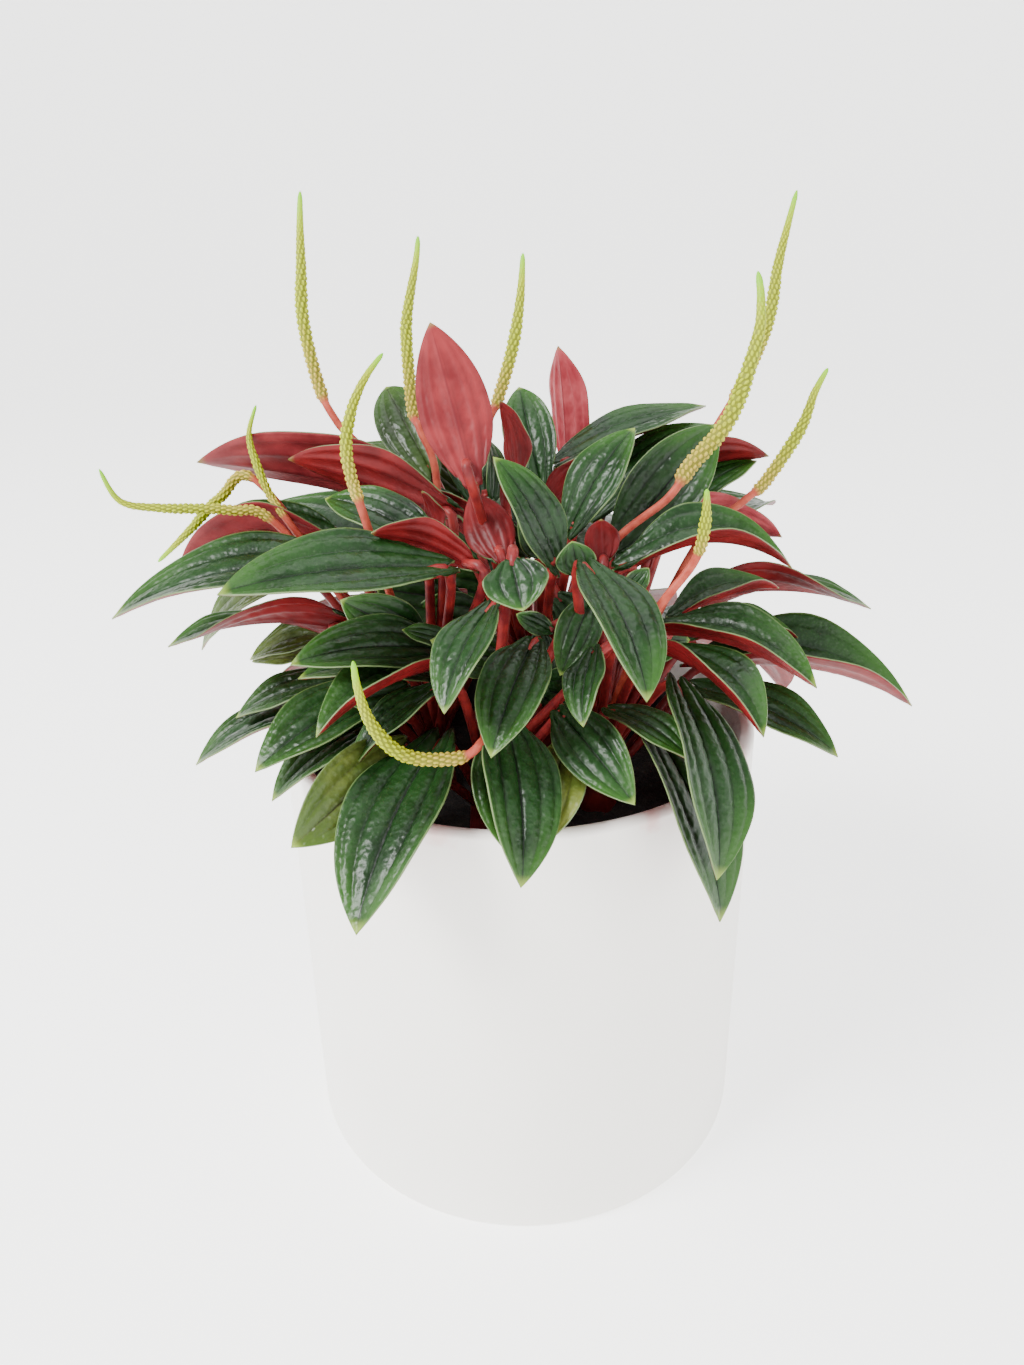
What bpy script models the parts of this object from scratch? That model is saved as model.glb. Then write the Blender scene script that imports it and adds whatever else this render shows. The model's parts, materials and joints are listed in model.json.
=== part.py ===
"""A ripple peperomia in a white ceramic pot, with the black nursery pot it grows in."""
import math
import random

import bmesh
import bpy
from mathutils import Vector
from mathutils.bvhtree import BVHTree

MM = 0.001

# Driving dimensions
POT_DIAMETER = 140 * MM
POT_HEIGHT = 136.5 * MM
POT_WALL = 4 * MM
POT_FOOT_ROUND = 2 * MM
NURSERY_TOP_RADIUS = 62 * MM
NURSERY_FOOT_RADIUS = 54 * MM
NURSERY_HEIGHT = 124 * MM
NURSERY_WALL = 1.2 * MM
SOIL_DEPTH = 104 * MM
LEAF_THICKNESS = 0.8 * MM
LEAF_WIDTH_TO_LENGTH = 0.48
STALK_RADIUS = 1.2 * MM
CROWN_FOOT_RADIUS = 6 * MM
CROWN_FOOT_DEPTH = 12 * MM
CROWN_STEM = 38 * MM
CROWN_STEM_TOP_RADIUS = 3.5 * MM
CROWN_RING = 26 * MM
GAP = 0.3 * MM
TOUCH_GAP = 0.01 * MM

POT_RADIUS = POT_DIAMETER / 2
POT_FLOOR = POT_WALL
NURSERY_BASE = POT_FLOOR + GAP
NURSERY_RIM = NURSERY_BASE + NURSERY_HEIGHT
SOIL_BASE = NURSERY_BASE + NURSERY_WALL + GAP
SOIL_TOP = SOIL_BASE + SOIL_DEPTH

# The plant is placed by sight lines: a place is a point of a 1024 by 1365 picture and the plane,
# so many millimetres behind the pot's axis, that its sight line is cut by.
EYE = Vector((0.0, -280.98, 271.53)) * MM
SIGHT_DOWN = math.radians(24.13)
SIGHT_TURN = math.radians(-0.37)
SIGHT_LEAN = math.radians(-1.25)
PIXELS_PER_UNIT = 1027.0
PICTURE_MIDDLE = (512.0, 682.5)

CROWNS = {
    "left": (-1.0, 0.1),
    "front": (-0.35, -0.95),
    "right": (0.9, -0.45),
    "back": (0.25, 0.95),
}

# Where along its length a blade is widest
WIDEST = 0.42

# How far a blade's middle stands off the line from joint to tip, and how far its edges turn up
ARCH = 0.1
CUP = 0.14
FOLD = 0.42
ARCHED = {"D5": 0.2, "A1": 0.04, "A2": 0.04, "A4": 0.15, "E1": 0.06, "E3": 0.1, "H3": 0.12,
          "C6": 0.04, "B1": 0.03, "B5": 0.12, "C2": 0.03, "F3": 0.02}

# How far the plant stands from the eye, for a leaf that is moved along its sight lines
PLANT_DISTANCE = 390 * MM

# Leaves: crown, then where the stalk joins the blade and the tip, each as picture x, picture y and
# depth in mm, then the blade's width in the picture and the side of it that is seen: a turned blade
# shows its underside at the joint and its upper side at the tip, a folded one shows a strip of its
# underside below its upper side, and an edge one more of it.
LEAVES = {
    "B1": ("back", (470, 472, -5), (430, 322, 8), 70, "under"),
    "B2": ("back", (430, 470, 30), (386, 387, 55), 55, "top"),
    "B3": ("back", (472, 498, 15), (423, 410, 45), 40, "top"),
    "B4": ("back", (515, 480, 15), (500, 400, 20), 25, "under"),
    "C1": ("back", (540, 480, 20), (519, 387, 40), 50, "top"),
    "C2": ("back", (568, 460, 52), (558, 346, 50), 38, "under"),
    "C6": ("back", (565, 462, 30), (706, 406, 50), 28, "top"),
    "C7": ("back", (600, 512, 15), (715, 425, 30), 40, "top"),
    "C8": ("right", (622, 538, 0), (718, 424, 10), 70, "top"),
    "C4": ("back", (572, 528, -15), (635, 428, -5), 48, "top"),
    "C3": ("back", (555, 565, -25), (493, 457, -20), 45, "top"),
    "C5": ("back", (548, 512, 0), (592, 455, 0), 30, "under"),
    "C11": ("back", (492, 495, 20), (486, 438, 35), 20, "top"),
    "D1": ("right", (650, 490, 20), (769, 456, 30), 25, "under"),
    "D2": ("right", (665, 528, 10), (757, 461, 25), 35, "top"),
    "D3": ("right", (630, 560, 0), (742, 500, 10), 35, "under"),
    "D4": ("right", (660, 535, 5), (782, 537, 15), 30, "under"),
    "D5": ("right", (628, 570, -10), (792, 568, -10), 46, "folded"),
    "D6": ("right", (628, 592, -25), (649, 568, -25), 22, "top"),
    "D7": ("right", (678, 617, -15), (779, 588, -5), 28, "folded"),
    "H1": ("right", (700, 600, 0), (871, 609, 5), 30, "turned"),
    "H2": ("right", (690, 640, 0), (798, 638, 5), 28, "folded"),
    "H3": ("right", (700, 668, -5), (912, 706, -15), 34, "folded"),
    "H4": ("right", (660, 632, -20), (817, 688, -45), 45, "folded"),
    "H5": ("right", (660, 650, -30), (764, 737, -60), 60, "folded"),
    "H6": ("right", (700, 690, -10), (838, 757, -30), 40, "top"),
    "J4": ("right", (678, 692, -45), (717, 880, -85), 62, "top"),
    "J5": ("right", (646, 724, -50), (720, 922, -85), 60, "top"),
    "J6": ("right", (612, 712, -40), (690, 760, -60), 34, "top"),
    "J2": ("front", (563, 716, -50), (635, 805, -75), 62, "top"),
    "J3": ("front", (594, 653, -40), (583, 727, -60), 38, "top"),
    "J1": ("front", (563, 750, -55), (541, 847, -78), 60, "top"),
    "G1": ("right", (590, 572, -35), (647, 702, -70), 62, "top"),
    "G2": ("right", (590, 602, -25), (560, 676, -40), 45, "top"),
    "I2": ("front", (505, 725, -55), (521, 888, -90), 75, "top"),
    "I2b": ("front", (500, 740, -50), (505, 850, -75), 60, "top"),
    "I1": ("front", (438, 745, -50), (356, 935, -95), 88, "top"),
    "E13": ("front", (400, 750, -40), (291, 848, -70), 75, "top"),
    "F1": ("front", (490, 610, -40), (444, 714, -65), 48, "top"),
    "F2": ("front", (531, 648, -45), (491, 758, -75), 68, "top"),
    "F3": ("front", (512, 564, -40), (523, 611, -50), 66, "top"),
    "F4b": ("front", (550, 630, -35), (516, 614, -35), 22, "top"),
    "F6": ("left", (452, 645, -40), (402, 630, -40), 22, "top"),
    "F7": ("left", (440, 630, -10), (380, 600, -10), 26, "top"),
    "E1": ("left", (437, 569, -25), (217, 595, -45), 60, "top"),
    "E2": ("left", (290, 575, 25), (202, 650, 30), 25, "top"),
    "E3": ("left", (340, 627, 0), (168, 647, -5), 34, "turned"),
    "E4": ("left", (340, 632, 10), (250, 660, 10), 28, "top"),
    "E5": ("left", (330, 650, 30), (252, 662, 30), 28, "top"),
    "E6": ("left", (443, 652, -35), (290, 665, -50), 53, "top"),
    "E7": ("left", (430, 678, -35), (298, 679, -45), 30, "top"),
    "E8": ("left", (443, 665, -40), (316, 737, -60), 50, "folded"),
    "E9": ("left", (395, 690, -30), (255, 772, -55), 55, "top"),
    "E10": ("left", (330, 705, -15), (196, 765, -25), 30, "top"),
    "E11": ("left", (350, 682, -15), (236, 718, -20), 30, "top"),
    "E12": ("left", (395, 715, -35), (272, 801, -55), 38, "top"),
    "E14": ("front", (437, 690, -42), (350, 772, -50), 28, "top"),
    "A1": ("left", (440, 505, 15), (197, 462, 25), 50, "under"),
    "A2": ("left", (447, 512, 0), (288, 459, 10), 45, "under"),
    "A3": ("back", (455, 500, 25), (327, 452, 45), 32, "top"),
    "A4": ("left", (340, 548, 0), (179, 566, 0), 38, "edge"),
    "A5": ("left", (345, 570, -10), (112, 619, -15), 45, "top"),
    "B5": ("left", (470, 565, -30), (371, 533, -35), 35, "under"),
    "B6": ("left", (430, 545, -10), (325, 499, 5), 45, "top"),
    "B7": ("back", (485, 550, -10), (428, 490, -10), 25, "under"),
    "B8": ("left", (437, 538, -12), (422, 491, -12), 16, "under"),
    "B11": ("back", (500, 555, -25), (472, 492, -15), 50, "under"),
    "C9": ("right", (578, 572, -35), (572, 541, -35), 40, "top"),
    "C10": ("right", (603, 560, -20), (601, 519, -20), 35, "under"),
    "N1": ("back", (520, 560, 20), (440, 520, 10), 60, "top"),
    "N2": ("back", (560, 545, 10), (520, 505, 5), 60, "top"),
    "N3": ("left", (420, 640, -10), (340, 600, -15), 55, "top"),
    "N4": ("front", (500, 660, -30), (430, 640, -40), 50, "top"),
    "N5": ("front", (545, 690, -35), (590, 700, -45), 50, "top"),
    "N6": ("right", (610, 640, -15), (690, 640, -15), 50, "top"),
    "N7": ("left", (400, 680, -20), (330, 690, -25), 50, "top"),
    "N8": ("left", (455, 600, 0), (375, 588, -5), 55, "top"),
    "N10": ("left", (485, 620, -5), (405, 618, -10), 55, "top"),
    "N14": ("back", (505, 602, 22), (430, 580, 22), 46, "top"),
    "N11": ("right", (560, 600, -10), (606, 645, -15), 50, "top"),
    "N12": ("front", (540, 640, -15), (545, 705, -25), 50, "top"),
}

# Flower spikes: crown, half width in the picture, depth in mm at the tip and at the foot, the share
# of the path that is spike, then the path from the tip down.
SPIKES = {
    "S1": ("left", 5, -5, 0, 0.98, [(99, 469), (120, 501), (160, 508), (230, 510), (275, 523)]),
    "S2": ("left", 5, 20, 15, 0.97, [(158, 562), (190, 530), (220, 498), (258, 482)]),
    "S3": ("left", 4, 25, 10, 0.97, [(256, 405), (249, 435), (257, 465), (270, 495), (288, 521)]),
    "S4": ("left", 6, 40, 15, 0.72,
           [(300, 191), (300, 228), (301, 265), (303, 320), (319, 386), (337, 422), (381, 480)]),
    "S5": ("left", 6, -8, -25, 0.92,
           [(383, 353), (365, 378), (352, 408), (346, 445), (352, 480), (367, 525)]),
    "S10": ("left", 6, 30, 5, 0.7,
            [(418, 236), (416, 260), (407, 316), (407, 350), (413, 412), (420, 430), (437, 484)]),
    "S11": ("back", 6, 20, 5, 0.62,
            [(523, 253), (520, 300), (512, 350), (497, 402), (488, 425), (476, 492)]),
    "S7a": ("back", 6, 50, 30, 0.95, [(797, 190), (787, 228), (778, 265), (764, 335), (720, 420)]),
    "S7b": ("right", 8, 5, -15, 0.75,
            [(758, 271), (761, 300), (757, 340), (730, 417), (690, 466), (668, 498), (605, 556)]),
    "S8": ("right", 6, 20, 5, 0.7,
           [(828, 368), (815, 392), (800, 430), (765, 482), (745, 500), (700, 540)]),
    "S9": ("right", 6, -45, -45, 0.6, [(707, 489), (705, 525), (694, 562), (655, 614)]),
    "S12": ("front", 7, -76, -64, 0.85,
            [(353, 661), (358, 690), (370, 722), (392, 748), (420, 759), (463, 757), (482, 742)]),
}

# Leaves on the far side, which no sight line reaches, go round by a seeded rule
FAR_LEAVES = 17
FAR_SEED = 11


def sight(px, py):
    """Direction from the eye through a point of the picture."""
    ahead = Vector((math.sin(SIGHT_TURN) * math.cos(SIGHT_DOWN),
                    math.cos(SIGHT_TURN) * math.cos(SIGHT_DOWN), -math.sin(SIGHT_DOWN)))
    side = ahead.cross(Vector((0, 0, 1))).normalized()
    top = side.cross(ahead)
    right = side * math.cos(SIGHT_LEAN) + top * math.sin(SIGHT_LEAN)
    up = top * math.cos(SIGHT_LEAN) - side * math.sin(SIGHT_LEAN)
    across = (px - PICTURE_MIDDLE[0]) / PIXELS_PER_UNIT
    down = (py - PICTURE_MIDDLE[1]) / PIXELS_PER_UNIT
    return ahead + right * across - up * down


def seen(px, py, depth_mm):
    """The point on a sight line that lies depth_mm behind the pot's axis."""
    ray = sight(px, py)
    return EYE + ray * ((depth_mm * MM - EYE.y) / ray.y)


def crown_foot(crown):
    """Where a crown stands on the soil."""
    x, y = CROWNS[crown]
    return Vector((x, y, 0)).normalized() * CROWN_RING + Vector((0, 0, SOIL_TOP))


class Leaf:
    """One blade: where it joins its stalk, its tip, its width and the way its upper side faces."""

    def __init__(self, crown, joint, tip, width, face, rise=None, turns=(0.0, 0.0), arch=ARCH, cup=CUP):
        self.crown = crown
        self.joint = joint
        self.tip = tip
        self.length = (tip - joint).length
        self.width = width
        self.along = (tip - joint).normalized()
        self.face = (face - self.along * face.dot(self.along)).normalized()
        self.rise = rise if rise is not None else self.along.cross(self.face)
        self.turns = turns
        self.arch = arch
        self.cup = cup
        self.middle = self.facing(0.5)

    def facing(self, u):
        """The way the upper side faces at u, as the blade may twist from joint to tip."""
        share = min(1.0, max(0.0, (u - 0.1) / 0.7))
        turn = self.turns[0] + (self.turns[1] - self.turns[0]) * share
        return self.face * math.cos(turn) + self.rise * math.sin(turn)

    def point(self, u, v):
        """Surface point, u from the joint to the tip and v from edge to edge."""
        half = self.width / 2 * outline(u)
        lobe = -0.1 * self.length * math.sin(math.pi * min(1.0, abs(v))) * (1 - u) ** 8
        arch = self.arch * self.length * 4 * u * (1 - u)
        cup = self.cup * self.width * v * v * outline(u)
        size = 1.1 * MM * min(1.0, self.width / (25 * MM))
        relief = size * math.sin(math.pi * min(1, u + 0.12)) ** 0.5
        if abs(v) < 0.75:
            cup -= relief * math.cos(4 * math.pi * v)
        else:
            cup += relief
        facing = self.facing(u)
        across = facing.cross(self.along)
        spine = self.joint + self.along * (u * self.length + lobe) + self.middle * arch
        return spine + across * (v * half) + facing * cup

    def cells(self):
        """How many faces the blade has across and along."""
        if self.length > 44 * MM:
            return 6, 3
        if self.length > 24 * MM:
            return 4, 3
        return 4, 2

    def grid(self):
        """Rows of surface points from the joint to the tip; the last row is the tip alone."""
        wide, long = self.cells()
        rows = []
        for i in range(long):
            u = (i / long) ** 1.1
            rows.append([self.point(u, column(2 * j / wide - 1, wide)) for j in range(wide + 1)])
        rows.append([self.point(1.0, 0.0)] * (wide + 1))
        return rows


def column(v, wide):
    """Sets the evenly spaced columns of a blade's grid on its grooves and ridges."""
    power = 1.3 if wide == 6 else 1.8
    return math.copysign(abs(v) ** power if abs(v) < 0.99 else 1.0, v)


def outline(u):
    """Half width of a blade along its length, as a share of its widest: rounded foot, blunt tip."""
    if u < WIDEST:
        return 0.34 + 0.66 * math.sin(math.pi / 2 * u / WIDEST) ** 0.7
    return max(0.0, 1 - ((u - WIDEST) / (1 - WIDEST)) ** 2.2) ** 0.95


def seen_leaf(name, push=1.0):
    """A leaf from its place in the picture; push moves it along its sight lines."""
    crown, joint, tip, wide_px, side = LEAVES[name]
    base = EYE + (seen(*joint) - EYE) * push
    end = EYE + (seen(*tip) - EYE) * push
    middle = (base + end) / 2
    to_eye = EYE - middle
    along = (end - base).normalized()
    shown = wide_px / PIXELS_PER_UNIT * to_eye.length
    width = max(shown, LEAF_WIDTH_TO_LENGTH * (end - base).length)
    width = min(width, 46 * MM)
    facing = (to_eye - along * to_eye.dot(along)).normalized()
    rise = along.cross(facing)
    if rise.z < 0:
        rise = -rise
    turn = math.acos(min(1.0, shown / width))
    turns = {
        "top": (turn, turn),
        "under": (math.pi - turn, math.pi - turn),
        "turned": (math.radians(128), turn),
        "folded": (math.radians(66), math.radians(66)),
        "edge": (math.radians(84), math.radians(84)),
    }[side]
    cup = {"folded": FOLD * 0.8, "edge": FOLD}.get(side, CUP)
    return Leaf(crown, base, end, width, facing, rise, turns, ARCHED.get(name, ARCH), cup)


def far_leaves():
    """Leaves of the far side, on two tiers round the back of the dome."""
    draw = random.Random(FAR_SEED)
    leaves = []
    for i in range(FAR_LEAVES):
        tier = i % 2
        angle = math.radians(24 + 132 * (i + 0.5) / FAR_LEAVES + draw.uniform(-3, 3))
        out = Vector((math.cos(angle), math.sin(angle), 0))
        low = 150 if tier == 0 else 172
        joint = out * draw.uniform(50, 58) * MM + Vector((0, 0, low * MM))
        reach = draw.uniform(52, 62) * MM
        slope = math.radians(draw.uniform(-42, -24) if tier == 0 else draw.uniform(-4, 14))
        tip = joint + out * reach * math.cos(slope) + Vector((0, 0, reach * math.sin(slope)))
        face = Vector((0, 0, 1)) * math.cos(slope) - out * math.sin(slope)
        if angle < math.radians(38):
            crown = "right"
        elif angle > math.radians(145):
            crown = "left"
        else:
            crown = "back"
        leaves.append(("far_%02d" % i, Leaf(crown, joint, tip, 0.62 * reach, face)))
    return leaves


def stalk_path(leaf):
    """A leaf stalk: from inside the blade's foot, under it, and down into the crown's foot."""
    foot = crown_foot(leaf.crown)
    start = leaf.point(0.05, 0)
    under = leaf.joint - leaf.along * 4 * MM - leaf.facing(0) * 5 * MM
    low = foot + Vector((under.x - foot.x, under.y - foot.y, 0)) * 0.3
    low.z = SOIL_TOP + max(16 * MM, (under.z - SOIL_TOP) * 0.45)
    end = foot + Vector((under.x - foot.x, under.y - foot.y, 0)).normalized() * 1.5 * MM
    end.z = SOIL_TOP + (3 + 30 * min(1.0, max(0.0, (under.z - 0.135) / 0.06))) * MM
    low.z = max(low.z, end.z + 5 * MM)
    if under.z - SOIL_TOP < 80 * MM:
        return [start, under, end]
    return [start, under, low, end]


def spike_path(name):
    """A spike and its stalk: the points, and how thick each is."""
    crown, half_px, tip_depth, foot_depth, share, path = SPIKES[name]
    points = []
    radii = []
    for i, (px, py) in enumerate(path):
        at = i / (len(path) - 1)
        point = seen(px, py, tip_depth + (foot_depth - tip_depth) * at)
        thick = half_px / PIXELS_PER_UNIT * (point - EYE).length
        points.append(point)
        taper = 0.4 + 0.6 * min(1.0, 2 * at / share)
        radii.append(thick * taper if at < share else STALK_RADIUS)
    foot = crown_foot(crown)
    low = foot + (points[-1] - foot) * 0.45
    rank = [key for key in SPIKES if SPIKES[key][0] == crown].index(name)
    out = Vector((points[-1].x - foot.x, points[-1].y - foot.y, 0)).normalized()
    end = foot + out * 2 * MM + Vector((0, 0, CROWN_STEM - (4 + 6 * rank) * MM))
    low.z = end.z + 0.4 * (points[-1].z - end.z) + 2 * MM * rank
    return points + [low, end], radii + [STALK_RADIUS, STALK_RADIUS]


def shell(rows, thick):
    """Corner points and triangles of a blade with both faces, for crossing tests."""
    high = len(rows)
    wide = len(rows[0])
    flat = [p for row in rows for p in row]
    normals = []
    for i in range(high):
        for j in range(wide):
            a = rows[min(i + 1, high - 1)][j] - rows[max(i - 1, 0)][j]
            row = rows[min(i, high - 2)]
            b = row[min(j + 1, wide - 1)] - row[max(j - 1, 0)]
            normals.append(b.cross(a).normalized())
    points = [p + n * thick / 2 for p, n in zip(flat, normals)]
    points += [p - n * thick / 2 for p, n in zip(flat, normals)]
    faces = []
    for side in (0, len(flat)):
        for i in range(high - 1):
            for j in range(wide - 1):
                k = side + i * wide + j
                faces.append((k, k + 1, k + wide + 1))
                faces.append((k, k + wide + 1, k + wide))
    return points, faces


def tube_shell(points, radii, sides=6):
    """Corner points and triangles of a round tube, for crossing tests."""
    corners = []
    faces = []
    for i, p in enumerate(points):
        ahead = points[min(i + 1, len(points) - 1)] - points[max(i - 1, 0)]
        side = ahead.orthogonal().normalized()
        other = ahead.normalized().cross(side)
        for j in range(sides):
            a = 2 * math.pi * j / sides
            corners.append(p + (side * math.cos(a) + other * math.sin(a)) * radii[i])
    for i in range(len(points) - 1):
        for j in range(sides):
            a = i * sides + j
            b = i * sides + (j + 1) % sides
            faces.append((a, b, b + sides))
            faces.append((a, b + sides, a + sides))
    return corners, faces


class Piece:
    """A leaf or a spike that can be moved along its sight lines to stand clear of the others."""

    def __init__(self, name, crown):
        self.name = name
        self.crown = crown
        self.push = 0.0
        self.remake()

    def remake(self):
        push = 1.0 + self.push * MM / PLANT_DISTANCE
        if self.name in LEAVES:
            self.leaf = seen_leaf(self.name, push)
        elif self.name in SPIKES:
            points, radii = spike_path(self.name)
            near = len(points) - 2
            self.points = [EYE + (p - EYE) * push if i < near else p for i, p in enumerate(points)]
            self.radii = radii
        if self.name in SPIKES:
            room = [r + 0.45 * MM for r in self.radii]
            self.trees = [BVHTree.FromPolygons(*tube_shell(self.points, room))]
        else:
            blade = shell(self.leaf.grid(), LEAF_THICKNESS + 0.7 * MM)
            stalk = stalk_path(self.leaf)
            stem = tube_shell(stalk, [STALK_RADIUS + 0.45 * MM] * len(stalk))
            self.trees = [BVHTree.FromPolygons(*blade), BVHTree.FromPolygons(*stem)]

    def crossings(self, other):
        return sum(1 for a in self.trees for b in other.trees if a.overlap(b))


class FarPiece(Piece):
    """A far leaf: it is lifted or lowered instead."""

    def __init__(self, name, leaf):
        self.start = leaf
        self.leaf = leaf
        super().__init__(name, leaf.crown)

    def remake(self):
        s = self.start
        lift = Vector((0, 0, self.push * MM))
        self.leaf = Leaf(s.crown, s.joint + lift, s.tip + lift, s.width, s.face)
        super().remake()


def pot_walls():
    """Triangles of the pot's and the nursery pot's walls and the soil's top, for crossing tests."""
    rings = [(NURSERY_TOP_RADIUS - NURSERY_WALL - 1.5 * MM, SOIL_TOP + 1 * MM),
             (NURSERY_TOP_RADIUS - NURSERY_WALL - 1.5 * MM, NURSERY_RIM + 1 * MM),
             (POT_RADIUS - POT_WALL - 1 * MM, POT_HEIGHT + 0.6 * MM),
             (POT_RADIUS + 1 * MM, POT_HEIGHT + 0.6 * MM),
             (POT_RADIUS + 1 * MM, 0.0)]
    sides = 48
    points = []
    faces = []
    for radius, z in rings:
        for j in range(sides):
            a = 2 * math.pi * j / sides
            points.append(Vector((radius * math.cos(a), radius * math.sin(a), z)))
    for i in range(len(rings) - 1):
        for j in range(sides):
            a = i * sides + j
            b = i * sides + (j + 1) % sides
            faces.append((a, b, b + sides, a + sides))
    return BVHTree.FromPolygons(points, faces)


def stem_tree(crown):
    """Triangles of a crown's stem, for crossing tests."""
    foot = crown_foot(crown)
    top = foot + Vector((0, 0, CROWN_STEM))
    room = 0.5 * MM
    return BVHTree.FromPolygons(*tube_shell([foot, top], [CROWN_FOOT_RADIUS + room] * 2, 8))


PUSHES = [0, 2.5, -2.5, 5, -5, 8, -8, 11, -11, 15, -15, 20, -20]


def settled_plant(sweeps=3):
    """All leaves and spikes, each moved the least that leaves it clear of the other crowns."""
    pieces = [Piece(name, row[0]) for name, row in SPIKES.items()]
    pieces += [Piece(name, row[0]) for name, row in LEAVES.items()]
    pieces += [FarPiece(name, leaf) for name, leaf in far_leaves()]
    walls = pot_walls()
    stems = {crown: stem_tree(crown) for crown in CROWNS}
    for sweep in range(sweeps):
        for piece in pieces:
            best = None
            for push in PUSHES:
                piece.push = push
                piece.remake()
                cost = abs(push) * 0.04
                cost += 50 * sum(1 for tree in piece.trees if tree.overlap(walls))
                for crown, stem in stems.items():
                    if crown != piece.crown:
                        cost += 20 * sum(1 for tree in piece.trees if tree.overlap(stem))
                for other in pieces:
                    if other is not piece:
                        hits = piece.crossings(other)
                        cost += hits * (1 if other.crown == piece.crown else 20)
                if best is None or cost < best[0] - 1e-9:
                    best = (cost, push)
            piece.push = best[1]
            piece.remake()
    return pieces


def clear_scene():
    """Start from an empty scene."""
    for obj in list(bpy.data.objects):
        bpy.data.objects.remove(obj, do_unlink=True)


def new_collection(name):
    """A collection of the scene."""
    collection = bpy.data.collections.new(name)
    bpy.context.scene.collection.children.link(collection)
    return collection


def material(name, colour, roughness):
    """A plain Principled material."""
    mat = bpy.data.materials.new(name)
    mat.use_nodes = True
    shader = mat.node_tree.nodes["Principled BSDF"]
    shader.inputs["Base Color"].default_value = (*colour, 1)
    shader.inputs["Roughness"].default_value = roughness
    shader.inputs["Metallic"].default_value = 0.0
    mat.diffuse_color = (*colour, 1)
    return mat


def mesh_object(name, mesh, collection):
    """An object for a mesh, linked to a collection."""
    obj = bpy.data.objects.new(name, mesh)
    collection.objects.link(obj)
    return obj


def bake(obj):
    """Apply an object's modifiers, and give back the mesh object that takes its place."""
    graph = bpy.context.evaluated_depsgraph_get()
    mesh = bpy.data.meshes.new_from_object(obj.evaluated_get(graph))
    mesh.transform(obj.matrix_world)
    name = obj.name
    collection = obj.users_collection[0]
    bpy.data.objects.remove(obj, do_unlink=True)
    return mesh_object(name, mesh, collection)


def weld(obj, distance=0.01 * MM):
    """Join corners that lie on each other."""
    bm = bmesh.new()
    bm.from_mesh(obj.data)
    bmesh.ops.remove_doubles(bm, verts=bm.verts, dist=distance)
    bm.to_mesh(obj.data)
    bm.free()


def turned(name, profile, steps, collection):
    """A turned solid from its profile of radius and height, top to bottom on the outside."""
    mesh = bpy.data.meshes.new(name)
    mesh.from_pydata([(r, 0, z) for r, z in profile], [(i, i + 1) for i in range(len(profile) - 1)], [])
    obj = mesh_object(name, mesh, collection)
    screw = obj.modifiers.new("Turn", "SCREW")
    screw.steps = steps
    screw.render_steps = steps
    screw.use_merge_vertices = True
    screw.merge_threshold = 0.01 * MM
    screw.use_smooth_shade = False
    return obj


def build_pot(parts):
    """The ceramic pot: a straight open cylinder with a rounded lip."""
    lip = POT_WALL / 2
    middle = POT_RADIUS - lip
    profile = [(middle + lip * math.cos(a), POT_HEIGHT - lip + lip * math.sin(a))
               for a in (math.radians(d) for d in (90, 60, 30, 0))]
    profile += [(POT_RADIUS, POT_FOOT_ROUND),
                (POT_RADIUS - POT_FOOT_ROUND * 0.3, POT_FOOT_ROUND * 0.3),
                (POT_RADIUS - POT_FOOT_ROUND, 0.0), (0.0, 0.0)]
    inner = POT_RADIUS - POT_WALL
    bore = [(0.0, POT_FLOOR), (inner - 2 * MM, POT_FLOOR), (inner, POT_FLOOR + 2 * MM)]
    bore += [(middle + lip * math.cos(a), POT_HEIGHT - lip + lip * math.sin(a))
             for a in (math.radians(d) for d in (180, 150, 120))]
    obj = turned("pot", profile + bore + profile[:1], 56, parts)
    obj.data.materials.append(material("pot_glaze", (0.80, 0.78, 0.75), 0.35))


def build_nursery_pot(parts):
    """The thin black pot inside, tapered, with a small rolled lip."""
    top = NURSERY_TOP_RADIUS
    profile = [(top + 1.5 * MM, NURSERY_RIM), (top + 1.5 * MM, NURSERY_RIM - 5 * MM),
               (top, NURSERY_RIM - 5.5 * MM), (NURSERY_FOOT_RADIUS, NURSERY_BASE), (0.0, NURSERY_BASE),
               (0.0, NURSERY_BASE + NURSERY_WALL),
               (NURSERY_FOOT_RADIUS - NURSERY_WALL, NURSERY_BASE + NURSERY_WALL),
               (top - NURSERY_WALL, NURSERY_RIM - 5.5 * MM), (top - NURSERY_WALL, NURSERY_RIM),
               (top + 1.5 * MM, NURSERY_RIM)]
    obj = turned("nursery_pot", profile, 32, parts)
    obj.data.materials.append(material("black_plastic", (0.02, 0.02, 0.022), 0.5))


def nursery_inside(z):
    """Inner radius of the nursery pot at a height."""
    share = (z - NURSERY_BASE) / (NURSERY_RIM - 5.5 * MM - NURSERY_BASE)
    return NURSERY_FOOT_RADIUS + (NURSERY_TOP_RADIUS - NURSERY_FOOT_RADIUS) * share - NURSERY_WALL


def build_soil(parts, cutters):
    """The soil: it fills the nursery pot, with a plain hole for each crown's foot."""
    side = 1.2 * GAP
    profile = [(0.0, SOIL_TOP + 1.5 * MM), (0.6 * nursery_inside(SOIL_TOP), SOIL_TOP + 0.8 * MM),
               (nursery_inside(SOIL_TOP) - side, SOIL_TOP),
               (nursery_inside(SOIL_BASE) - side, SOIL_BASE), (0.0, SOIL_BASE)]
    obj = turned("soil", profile, 24, parts)
    for crown in CROWNS:
        wide = CROWN_FOOT_RADIUS + 2 * GAP
        hole = crown_root("hole_" + crown, crown, wide, wide, GAP * 1.5, cutters)
        hole.display_type = "WIRE"
        hole.hide_render = True
        cut = obj.modifiers.new("Hole " + crown, "BOOLEAN")
        cut.operation = "DIFFERENCE"
        cut.object = hole
    obj.data.materials.append(material("soil_dark", (0.03, 0.022, 0.016), 0.95))


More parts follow.
